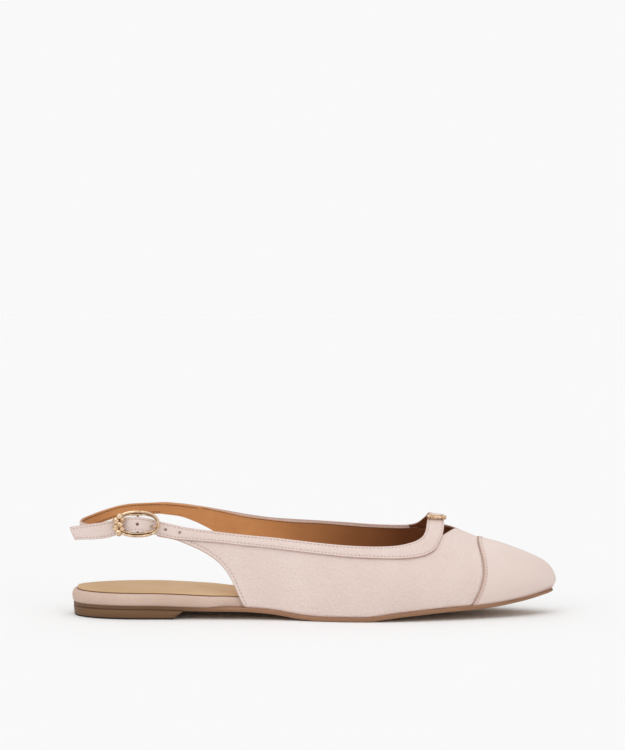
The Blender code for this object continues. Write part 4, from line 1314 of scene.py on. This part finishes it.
def sew(work, path, pitch=STITCH_PITCH, radius=THREAD_RADIUS):
    """Stitches along a path of (point, normal); each dips into the leather at both ends."""
    length, at = walk(path)
    count = int(length // pitch)
    start = (length - (count - 1) * pitch) / 2
    for k in range(count):
        loops = []
        for cell in cells(STITCH_COLUMNS, STITCH_ROWS):
            point, normal, tangent = at(start + k * pitch + cell["along"] * pitch * STITCH_SHARE / 2)
            side = tangent.cross(normal).normalized()
            centre = point + normal * cell["lift"] * radius
            loops.append(circle(work, centre, side, normal, cell["thick"] * radius, STITCH_SIDES))
        tube(work, loops)


def sewn(name, paths, material, slot, **thread):
    """One piece with all the stitches along some paths."""
    work = bmesh.new()
    for path in paths:
        sew(work, path, **thread)
    return add_piece(name, work, material, slot)


def sewn_lining(name, paths):
    """Stitches of the lining: closer, thicker and tan."""
    return sewn(name, paths, LINING_THREAD, "sock_leather",
                pitch=LINING_STITCH_PITCH, radius=LINING_THREAD_RADIUS)


# Upper


def edge_path(side, stations, height_of, offset, outward):
    """Along the last at a height for each station, with normals outward (1) or inward (-1)."""
    path = []
    for station in stations:
        share = share_at_height(side, station, height_of(station), offset)
        point, normal = surface(side, station, share, offset)
        path.append((point, normal * outward))
    return path


def seam_path(offset):
    """Along the toe cap's edge over the foot, from the outer feather line to the inner one."""
    path = []
    for k in range(-SEAM_STEPS, SEAM_STEPS + 1):
        side = "lateral" if k <= 0 else "medial"
        angle = math.pi / 2 * abs(k) / SEAM_STEPS
        path.append(surface(side, SEAM_FOOT, math.sin(angle), offset))
    return path


def build_upper():
    """Upper, its lining, the toe cap and their stitches."""
    ribs, notch = upper_feet()
    last_skin("upper_leather", ribs, 0.0, LEATHER, notch, BLUSH, "blush_leather",
              paring=True, replaced=["upper"])
    last_skin("upper_lining", ribs, LEATHER, WALL, notch, LINING, "sock_leather")
    last_skin("toe_cap_leather", [(foot, 0.0) for foot in cap_feet()], CAP_OUTER, CAP_INNER, 0,
              CAP_LEATHER, "blush_leather", replaced=["toe_cap"])
    rear, inside = [], []
    rear_stations = refine(column(REAR_COLUMNS, REAR_ROWS, "station"), REAR_STITCH_STEP)
    for side, sign in SIDES.items():
        edge = edge_path(side, rear_stations, REAR_EDGE[side], 0.0, 1)
        rear.append(beside(edge, -sign * REAR_STITCH_INSET))
        ends = [LINING_STITCH_START[side], THROAT_START - LINING_STITCH_STEP]
        stations = refine(ends, LINING_STITCH_STEP)
        inside.append(edge_path(side, stations, lambda x: TOPLINE[side](x) - LINING_STITCH_DROP, WALL, -1))
    sewn("quarter_stitches", rear, THREAD, "blush_leather")
    sewn("toe_cap_stitches", [beside(seam_path(CAP_OUTER), -CAP_STITCH_INSET)], THREAD, "blush_leather")
    sewn_lining("lining_stitches", inside)


# Straps


def strap_line(rows, depths):
    """A strap's rows from its lower to its upper edge, with normals and depths."""
    rows = [row[::-1] for row in rows]
    return {"rows": rows, "normals": ribbon_normals(rows), "depths": depths}


def strap_width(strap, i):
    """Width of a strap at row i, along its middle and two edges."""
    low, middle, top = strap["rows"][i]
    return (middle - low).length + (top - middle).length


def on_strap(strap, i, across, depth):
    """Point and normal on row i, at a distance from the lower edge and a depth outward."""
    t = across / strap_width(strap, i)
    weights = (2 * (t - 0.5) * (t - 1), -4 * t * (t - 1), 2 * t * (t - 0.5))
    point, normal = Vector((0, 0, 0)), Vector((0, 0, 0))
    for weight, corner, upright in zip(weights, strap["rows"][i], strap["normals"][i]):
        point += corner * weight
        normal += upright * weight
    normal.normalize()
    return point + normal * depth, normal


def leather_profile(width, low, high):
    """Closed section of the strap's face: rolled shoulders, stitch dips, a slight crown."""
    half = [(0.0, low), (0.0, high - 0.45), (0.1, high - 0.18), (0.3, high - 0.05), (0.6, high),
            (STITCH_INSET - 0.3, high - 0.02), (STITCH_INSET, high - STITCH_DIP),
            (STITCH_INSET + 0.35, high - 0.02), (STITCH_INSET + 0.9, high + 0.03)]
    face = half + [(width / 2, high + 0.06)] + [(width - s, d) for s, d in half[::-1]]
    return face + [(width * k / 4, low) for k in (3, 2, 1)]


def lining_profile(width, low, high):
    """Closed section of the strap's lining, a little narrower than its face."""
    inset = LINING_INSET
    half = [(inset, high), (inset, low + 0.2), (inset + 0.15, low + 0.04), (inset + 0.4, low),
            (STITCH_INSET, low + 0.08)]
    face = half + [(width / 2, low - 0.02)] + [(width - s, d) for s, d in half[::-1]]
    return face + [(width * k / 4, high) for k in (3, 2, 1)]


def strap_layer(name, strap, profile, depths, runs, material, slot, replaced=()):
    """One layer of a strap between two depths on each row, over runs of rows."""
    work = bmesh.new()
    edge = set()
    for first, last in runs:
        loops = []
        for i in range(first, last + 1):
            width = strap_width(strap, i)
            loop = []
            for across, depth in profile(width, *depths[i]):
                loop.append(work.verts.new(place(*on_strap(strap, i, across, depth)[0])))
                if not STRAP_EDGE < across < width - STRAP_EDGE:
                    edge.add(loop[-1])
            loops.append(loop)
        tube(work, loops)
    return add_piece(name, work, material, slot, edge=edge, replaced=replaced)


def lined_runs(strap, side):
    """Runs of rows that have a lining: the free part behind the quarter and the crossing."""
    stations = [row[1].x for row in strap["rows"]]
    reach = TUCKED_LINING[0] if side == "medial" else QUARTER_REAR + LINING_LAP
    behind = [i for i, x in enumerate(stations) if x < reach]
    crossing = [i for i, x in enumerate(stations) if x > CROSSING_LINED[side]]
    return [(run[0], run[-1]) for run in (behind, crossing)]


def split_depths(strap, side):
    """Depths of a strap's face and lining on each row; the sling's lining carries on inside the quarter."""
    end, proud, turn, free = TUCKED_LINING
    hidden, shown = TUCKED_DEPTHS
    face, lining = [], []
    for row, (low, high) in zip(strap["rows"], strap["depths"]):
        split = low + (high - low) * FACE_SPLIT
        station = row[1].x
        bottom = low
        if side == "medial" and station < end + TUCKED_MARGIN:
            inside = hidden + (shown - hidden) * eased(station, end, proud)
            bottom = low + (inside - low) * eased(station, free, turn)
        lining.append((bottom, split))
        backed = QUARTER_REAR + BACKED_LAP < station < CROSSING_LINED[side]
        face.append((low if backed else split, high))
    return face, lining


def strap_stitches(strap, starts, last, depths, face):
    """Stitch rows beside a strap's lower and upper edge, on its outer face (1) or its lining (-1)."""
    paths = []
    for from_top, first in enumerate(starts):
        path = []
        for i in range(first, last):
            width = strap_width(strap, i)
            across = width - STITCH_INSET if from_top else STITCH_INSET
            depth = depths[i][1] - STITCH_DIP if face > 0 else depths[i][0] + STITCH_DIP / 2
            point, normal = on_strap(strap, i, across, depth)
            path.append((point, normal * face))
        paths.append(path)
    return paths


def cut_out(piece, cutter):
    """Cut a hole and keep only the result."""
    boolean = piece.modifiers.new("cut", "BOOLEAN")
    boolean.operation, boolean.solver, boolean.object = "DIFFERENCE", "EXACT", cutter
    bpy.context.view_layer.update()
    mesh = bpy.data.meshes.new_from_object(piece.evaluated_get(bpy.context.evaluated_depsgraph_get()))
    piece.modifiers.clear()
    piece.data = mesh


def row_at(strap, station):
    """Index of the strap's row nearest a station, on its outer run."""
    rows = strap["rows"]
    return min(range(len(rows)), key=lambda i: abs(rows[i][1].x - station))


def hole_cutter(strap, station, radius):
    """A rod square to the strap, through the middle of its width."""
    i = row_at(strap, station)
    centre, normal = on_strap(strap, i, strap_width(strap, i) / 2, 0.0)
    bpy.ops.mesh.primitive_cylinder_add(vertices=CUTTER_SIDES, radius=radius * MM,
                                        depth=CUTTER_LENGTH * MM, location=place(*centre))
    bpy.context.object.rotation_euler = normal.to_track_quat("Z", "Y").to_euler()
    return bpy.context.object


def strap_pieces(name, strap, side, sewn_to):
    """A strap's face, its lining and the stitches on its face."""
    outer, inner = split_depths(strap, side)
    whole = [(0, len(strap["rows"]) - 1)]
    face = strap_layer(f"{name}_leather", strap, leather_profile, outer, whole, BLUSH,
                       "blush_leather", replaced=[f"{side}_strap"])
    lining = strap_layer(f"{name}_lining", strap, lining_profile, inner, lined_runs(strap, side),
                         LINING, "sock_leather")
    sewn(f"{name}_stitches", strap_stitches(strap, (1, 1), sewn_to, outer, 1), THREAD, "blush_leather")
    return face, lining, inner


def build_buckle_strap():
    """The punched strap, from its tip through the buckle to the crown of the instep."""
    rows = free_rows() + band_rows("lateral", LATERAL_BAND_ROWS)
    rows += crossing_rows("lateral", LATERAL_CROSSING_ROWS)
    rows += crossing_rows("medial", MEDIAL_CROSSING_ROWS[-1:])
    rows = bow_over_bar(even_rows(rows, STRAP_STEP))
    strap = strap_line(rows, band_depths(rows))
    face, lining, _ = strap_pieces("buckle_strap", strap, "lateral", len(rows) - 1)
    for station in HOLE_STATIONS:
        cutter = hole_cutter(strap, station, EYELET_RADIUS)
        cut_out(face, cutter)
        if station < QUARTER_REAR:
            cut_out(lining, cutter)
        bpy.data.objects.remove(cutter)


def build_sling():
    """The inner strap: over the instep, along the topline, round the heel and into the buckle's eye."""
    on_upper = band_rows("medial", MEDIAL_BAND_ROWS) + crossing_rows("medial", MEDIAL_CROSSING_ROWS)
    rows = even_rows(on_upper[::-1] + sling_rows(), STRAP_STEP)
    depths = band_depths(rows)
    starts = [min(i for i, row in enumerate(rows) if row[1].x < reach)
              for reach in (QUARTER_REAR, LINING_STITCH_START["medial"])]
    sewn_to = len(rows) - 1
    curl = eye_rows()
    depths += [(-EYE_THICKNESS / 2, EYE_THICKNESS / 2)] * len(curl)
    strap = strap_line(rows + curl, depths)
    face, lining, inner = strap_pieces("sling", strap, "medial", sewn_to)
    bpy.ops.mesh.primitive_cube_add(size=1.0)
    slot = bpy.context.object
    slot.dimensions = tuple(size * MM for size in EYE_SLOT)
    slot.location = place(BAR_STATION + EYE_RADIUS / 2, BAR_Y, BAR_Z)
    for layer in (face, lining):
        cut_out(layer, slot)
    bpy.data.objects.remove(slot)
    sewn_lining("sling_lining_stitches", strap_stitches(strap, starts, sewn_to, inner, -1))


# Hardware


def smooth_path(points, pieces):
    """A smooth run of points through the given ones."""
    run = [between_points(*window, k / pieces) for window in windows(points) for k in range(pieces)]
    return run + [points[-1]]


def add_wire(work, path, radius, sides=WIRE_SIDES):
    """A round wire whose radius follows its length; radius is a function of the share."""
    loops = []
    up = Vector(WIRE_UP).normalized()
    for i, point in enumerate(path):
        tangent = (path[min(i + 1, len(path) - 1)] - path[max(i - 1, 0)]).normalized()
        side = tangent.cross(up).normalized()
        up = side.cross(tangent).normalized()
        loops.append(circle(work, point, side, up, radius(i / (len(path) - 1)), sides))
    tube(work, loops)


def round_ended(radius, share):
    """Radius of a wire with rounded ends, each taking a share of the length."""
    def at(t):
        end = min(1.0, min(t, 1 - t) / share)
        return radius * max(0.12, math.sqrt(1 - (1 - end) ** 2))
    return at


def frame_section(angle):
    """Buckle frame's section: round outer rail, groove and lower inner lip, widest above and below."""
    ledge = LEDGE_SIDE + (LEDGE_TOP - LEDGE_SIDE) * abs(math.sin(angle)) ** 2
    section = [(-0.75 - ledge, -0.45), (-0.2, -0.62)]
    for turn in map(math.radians, range(-75, 136, 30)):
        section.append((RAIL_RADIUS * math.cos(turn), RAIL_RADIUS * math.sin(turn)))
    groove = [(-0.64, -0.05), (-0.5 - 0.35 * ledge, -0.22)]
    lip = [(-0.5 - 0.55 * ledge, 0.12), (-0.6 - 0.75 * ledge, 0.32), (-0.84 - ledge, 0.24),
           (-0.95 - ledge, -0.1)]
    return section + groove + lip, range(len(section), len(section) + len(groove))


def build_frame():
    """The oval frame with its curled rail, centre bar and bead cluster."""
    work = bmesh.new()
    loops, dark = [], set()
    for i in range(FRAME_STEPS):
        angle = 2 * math.pi * i / FRAME_STEPS
        along = squared_off(math.cos(angle), FRAME_SQUARENESS) * FRAME_HALF_LENGTH
        up = squared_off(math.sin(angle), FRAME_SQUARENESS) * FRAME_HALF_HEIGHT
        lift = FRAME_LIFT - FRAME_CURL * math.sin(angle) ** 2
        outward = Vector((math.cos(angle) / FRAME_HALF_LENGTH, math.sin(angle) / FRAME_HALF_HEIGHT))
        outward.normalize()
        section, groove = frame_section(angle)
        loop = []
        for radial, out in section:
            spot = on_buckle(along + outward.x * radial, up + outward.y * radial, lift + out)
            loop.append(work.verts.new(place(*spot)))
        loops.append(loop)
        # The groove's vertices are marked for painted shade.
        dark.update(loop[k] for k in groove)
    skin(work, loops + [loops[0]])

    bar = []
    for i in range(BAR_STEPS + 1):
        up = FRAME_HALF_HEIGHT * (2 * i / BAR_STEPS - 1)
        past_eye = max(0.0, (abs(up) - BAR_STRAIGHT) / (FRAME_HALF_HEIGHT - BAR_STRAIGHT))
        bar.append(on_buckle(0, up, (FRAME_LIFT - FRAME_CURL) * past_eye ** 1.5))
    add_wire(work, bar, round_ended(BAR_WIRE, WIRE_ROUNDING))

    for cell in cells(BEAD_COLUMNS, BEAD_ROWS):
        made = bmesh.ops.create_uvsphere(work, u_segments=20, v_segments=12, radius=cell["radius"] * MM)
        centre = place(*on_buckle(cell["along"], cell["up"], FRAME_LIFT + BEAD_LIFT))
        for vertex in made["verts"]:
            vertex.co.y *= BEAD_FLATNESS
            vertex.co += centre
    add_piece("buckle_frame_gold", work, GOLD, "pale_gold", edge=dark, replaced=["buckle_frame"])


def build_prong():
    """The prong, hooked round the centre bar and up through its hole."""
    work = bmesh.new()
    path = []
    for angle in map(math.radians, PRONG_TURNS):
        path.append(on_buckle(EYE_RADIUS * math.cos(angle), 0.0, EYE_RADIUS * math.sin(angle)))
    path += [on_buckle(*values) for values in PRONG_ROWS]
    add_wire(work, smooth_path(path, 4), round_ended(PRONG_THICKNESS, WIRE_ROUNDING))
    add_piece("buckle_prong_gold", work, GOLD, "pale_gold", replaced=["buckle_prong"])


def build_instep_bar():
    """Plain bar with a collar near each rounded end."""
    rows = crossing_rows("lateral", LATERAL_CROSSING_ROWS)
    rear, front = between(rows, INSTEP_BAR_REAR_ROW, 0), between(rows, INSTEP_BAR_FRONT_ROW, 2)
    along = (front - rear).normalized()
    normal = (rows[3][1] - rows[1][1]).cross(along).normalized()
    if normal.z < 0:
        normal = -normal
    lift = normal * (BAND_OUTER + GAP + INSTEP_BAR_RADIUS)
    start, end = rear - along * INSTEP_BAR_OVERHANG + lift, front + along * INSTEP_BAR_OVERHANG + lift
    path = [start.lerp(end, k / INSTEP_BAR_STEPS) for k in range(INSTEP_BAR_STEPS + 1)]
    mirrored = tuple((1 - share, radius) for share, radius in COLLAR_ROWS[-2::-1])
    radius_at = smooth_curve(COLLAR_COLUMNS, COLLAR_ROWS + mirrored, "radius")
    work = bmesh.new()
    add_wire(work, path, radius_at, sides=INSTEP_BAR_SIDES)
    add_piece("instep_bar_gold", work, GOLD, "pale_gold", replaced=["instep_bar"])


# Sole


def stacked_rings(name, rings, material, slot, replaced=()):
    """A solid from rings round the outline, bottom to top: inset, height function, canted or not."""
    work = bmesh.new()
    loops, ladders = [], []
    for inset, height, canted in rings:
        lateral, medial = ring(inset, height, OUTLINE_FINE, canted)
        near = [work.verts.new(point) for point in lateral]
        far = [near[0]] + [work.verts.new(point) for point in medial[1:-1]] + [near[-1]]
        loops.append(near + far[-2:0:-1])
        ladders.append((near, far))
    skin(work, loops)
    for near, far in (ladders[0], ladders[-1]):
        for i in range(len(near) - 1):
            corners = dict.fromkeys((near[i], near[i + 1], far[i + 1], far[i]))
            work.faces.new(tuple(corners))
    return add_piece(name, work, material, slot, replaced=replaced)


def build_outsole():
    """The sole with a rounded foot and a chamfered upper edge."""
    rings = [(inset, lambda x, rise=rise: UNDERSIDE(x) + rise, False) for inset, rise in SOLE_FOOT_RINGS]
    rings += [(inset, lambda x, drop=drop: sole_top(x) - drop, False) for inset, drop in SOLE_TOP_RINGS]
    stacked_rings("outsole_leather", rings, SOLE, "sole_resin", replaced=["outsole"])


def build_footbed():
    """The wrapped footbed with its rolled rim."""
    rings = []
    for cell in cells(FOOTBED_COLUMNS, WRAP_RINGS):
        def height(station, share=cell["share"], drop=cell["drop"]):
            return feather(station) * (1 - share) + (BED(station) - drop) * share

        rings.append((footbed_inset(cell["inset"]), height, cell["canted"]))
    stacked_rings("footbed_wrap", rings, RAND, "rand_leather", replaced=["footbed"])


def build_heel():
    """Heel block as a stack of outlines, its breast slanting forward towards the seat."""
    work = bmesh.new()
    loops = []
    top = HEEL_ROWS[-1][0]
    for height, inset in HEEL_ROWS:
        front = HEEL_BLOCK_END - HEEL_BREAST_SLANT * (1 - height / top)
        turns = [math.pi / 2 * i / HEEL_TURN_STEPS for i in range(HEEL_TURN_STEPS + 1)]
        stations = [HEEL_REAR + inset + HEEL_ROUND * (1 - math.cos(turn)) for turn in turns]
        stations += [HEEL_SIDE_START + (front - HEEL_SIDE_START) * k / HEEL_SIDE_STEPS
                     for k in range(HEEL_SIDE_STEPS + 1)]
        outline = {side: [(x, sign * half_width(side, x, inset)) for x in stations]
                   for side, sign in SIDES.items()}
        loop = []
        for station, y in outline["lateral"] + outline["medial"][:0:-1]:
            z = height if height < top else UNDERSIDE(station) - HEEL_SEAT_GAP
            loop.append(work.verts.new(place(station, y, z)))
        loops.append(loop)
    tube(work, loops)
    add_piece("heel_stack", work, STACK, "stacked_heel", replaced=["heel_block"])


def dome(station, share):
    """Height of the sock over the footbed's rim: a crown behind, flattening to the forefoot."""
    across = 4 * share * (1 - share)
    flattened = min(1.0, max(0.0, (station - CROWN_END) / CROWN_RUNOUT))
    crown = SOCK_CROWN * (1 - flattened) + CROWN_LEFT
    seat = SEAT_DIP * math.exp(-((station - SEAT_STATION) / SEAT_REACH) ** 2)
    return crown * (1 - (1 - across) ** 2) - seat * across


def build_sock():
    """Sock with a soft crown, from near edge to far edge in even columns."""
    work = bmesh.new()
    layers = []
    for extra, drop in SOCK_ROWS:
        layer = []
        for near, far in zip(*ring(footbed_inset(extra), lambda x: BED(x) - drop, OUTLINE_FINE, True)):
            line = []
            for share in (k / SOCK_DIVISIONS for k in range(SOCK_DIVISIONS + 1)):
                line.append(near.lerp(far, share))
                line[-1].z += MM * dome(near.x / MM + CENTRE_STATION, share)
            layer.append(line)
        layers.append(layer)
    for layer in (layers[0], layers[-1]):
        grid = [[work.verts.new(spot) for spot in line] for line in layer]
        for a, b in zip(grid, grid[1:]):
            for k in range(SOCK_DIVISIONS):
                work.faces.new((a[k], b[k], b[k + 1], a[k + 1]))
    rims = []
    for layer in layers:
        rim = [line[0] for line in layer] + [line[-1] for line in layer[::-1]]
        rims.append([work.verts.new(spot) for spot in rim])
    skin(work, rims)
    bmesh.ops.remove_doubles(work, verts=work.verts, dist=1e-6)
    ends = [face for face in work.faces if face.calc_area() < 1e-14]
    bmesh.ops.delete(work, geom=ends, context="FACES_ONLY")
    bmesh.ops.holes_fill(work, edges=work.edges, sides=0)
    # Painted shadow: the sock's rim rings are marked to take the dark colour of the gap against the
    # footbed's rim.
    edge = {vertex for rim in rims[:3] for vertex in rim if vertex.is_valid}
    add_piece("sock_leather_sheet", work, SOCK, "sock_leather", edge=edge, replaced=["insole"])


# Studio


def build_sky():
    """Plain white for the eye; softer light with bright and dim bands for everything else."""
    world = bpy.data.worlds.new("studio")
    sky = Nodes(world, "Generated")
    eye = sky.tree.nodes["Background"]
    sky.feed(eye.inputs["Color"], srgb(BACKDROP, BACKDROP, BACKDROP))
    rise = sky.mapped(sky.axis("Z"), -0.1, 0.8, SKY_LOW, SKY_HIGH)
    bands = sky.mapped(sky.noise(2.1, 0.0), 0.38, 0.62, *SKY_BANDS)
    room = sky.node("ShaderNodeBackground", Strength=sky.maths("MULTIPLY", rise, bands))
    seen = sky.node("ShaderNodeLightPath").outputs["Is Camera Ray"]
    mix = sky.node("ShaderNodeMixShader", Fac=seen)
    sky.feed(mix.inputs[1], room.outputs["Background"])
    sky.feed(mix.inputs[2], eye.outputs["Background"])
    sky.feed(sky.tree.nodes["World Output"].inputs["Surface"], mix.outputs["Shader"])
    bpy.context.scene.world = world


def build_studio():
    """Floor, sky, lamps and the camera at the photo's angle."""
    floor = bmesh.new()
    bmesh.ops.create_grid(floor, x_segments=8, y_segments=8, size=FLOOR_HALF)
    mesh = bpy.data.meshes.new("studio_floor")
    floor.to_mesh(mesh)
    floor.free()
    mesh.materials.append(studio_floor("floor paper", (FLOOR_WHITE, FLOOR_WHITE, FLOOR_WHITE, 1.0)))
    linked("studio_floor", mesh)
    build_sky()

    for cell in cells(SUN_COLUMNS, SUN_ROWS):
        lamp = bpy.data.lights.new(cell["name"], "SUN")
        lamp.energy = cell["strength"]
        lamp.angle = math.radians(cell["angle"])
        light = linked(cell["name"], lamp)
        light.rotation_euler = Vector(cell["toward"]).to_track_quat("-Z", "Y").to_euler()

    lens = bpy.data.cameras.new("camera")
    lens.sensor_width = SENSOR
    lens.lens = FOCAL_PIXELS * SENSOR / PICTURE_HEIGHT
    lens.sensor_fit = "VERTICAL"
    lens.sensor_height = SENSOR
    lens.clip_start, lens.clip_end = CLIP
    camera = linked("camera", lens)
    camera.location = CAMERA_PLACE
    camera.rotation_euler = (math.radians(90 - CAMERA_PITCH), 0.0, 0.0)
    bpy.context.scene.camera = camera
    bpy.context.scene.view_settings.view_transform = "Standard"


BLUSH = grained_leather("blush grained leather", srgb(230, 212, 204), srgb(221, 200, 191),
                        srgb(190, 158, 144), 760.0, 0.00032, 0.5)
CAP_LEATHER = grained_leather("blush toe leather", srgb(228, 211, 203), srgb(222, 203, 194),
                              srgb(190, 158, 144), 1150.0, 0.00007, 0.46)
RAND = grained_leather("rand leather", srgb(212, 187, 172), srgb(196, 168, 151), srgb(160, 124, 100),
                       1100.0, 0.00010, 0.5)
# The lining's last colour is the throat's: partly deeper dye, partly painted shade inside the shoe.
LINING = smooth_lining("tan lining", srgb(216, 154, 98), srgb(192, 130, 78), 0.5, srgb(122, 72, 42))
# The sock's edge colour is painted shadow along its rim, where it meets the footbed's rolled edge.
SOCK = smooth_lining("tan sock", srgb(212, 178, 138), srgb(196, 160, 118), 0.55, edge=srgb(120, 84, 56))
SOLE = sole_leather("sole leather", srgb(166, 124, 95), srgb(134, 97, 72), srgb(182, 146, 112),
                    srgb(116, 85, 59), srgb(96, 68, 46))
# The heel's last colour is the top piece: rubber, and near black as painted contact shadow too.
STACK = stacked_leather("stacked heel leather", srgb(122, 90, 61), srgb(98, 69, 45), srgb(48, 37, 30))
# The gold's last colour is painted shade for the frame's groove.
GOLD = polished_gold("pale gold plate", srgb(240, 212, 180), srgb(158, 112, 72), srgb(74, 48, 28))
THREAD = spun_thread("blush thread", srgb(208, 184, 174), srgb(172, 142, 130))
LINING_THREAD = spun_thread("tan thread", srgb(122, 80, 48), srgb(72, 44, 26))

build_upper()
build_buckle_strap()
build_sling()
build_frame()
build_prong()
build_instep_bar()
build_outsole()
build_footbed()
build_heel()
build_sock()
build_studio()
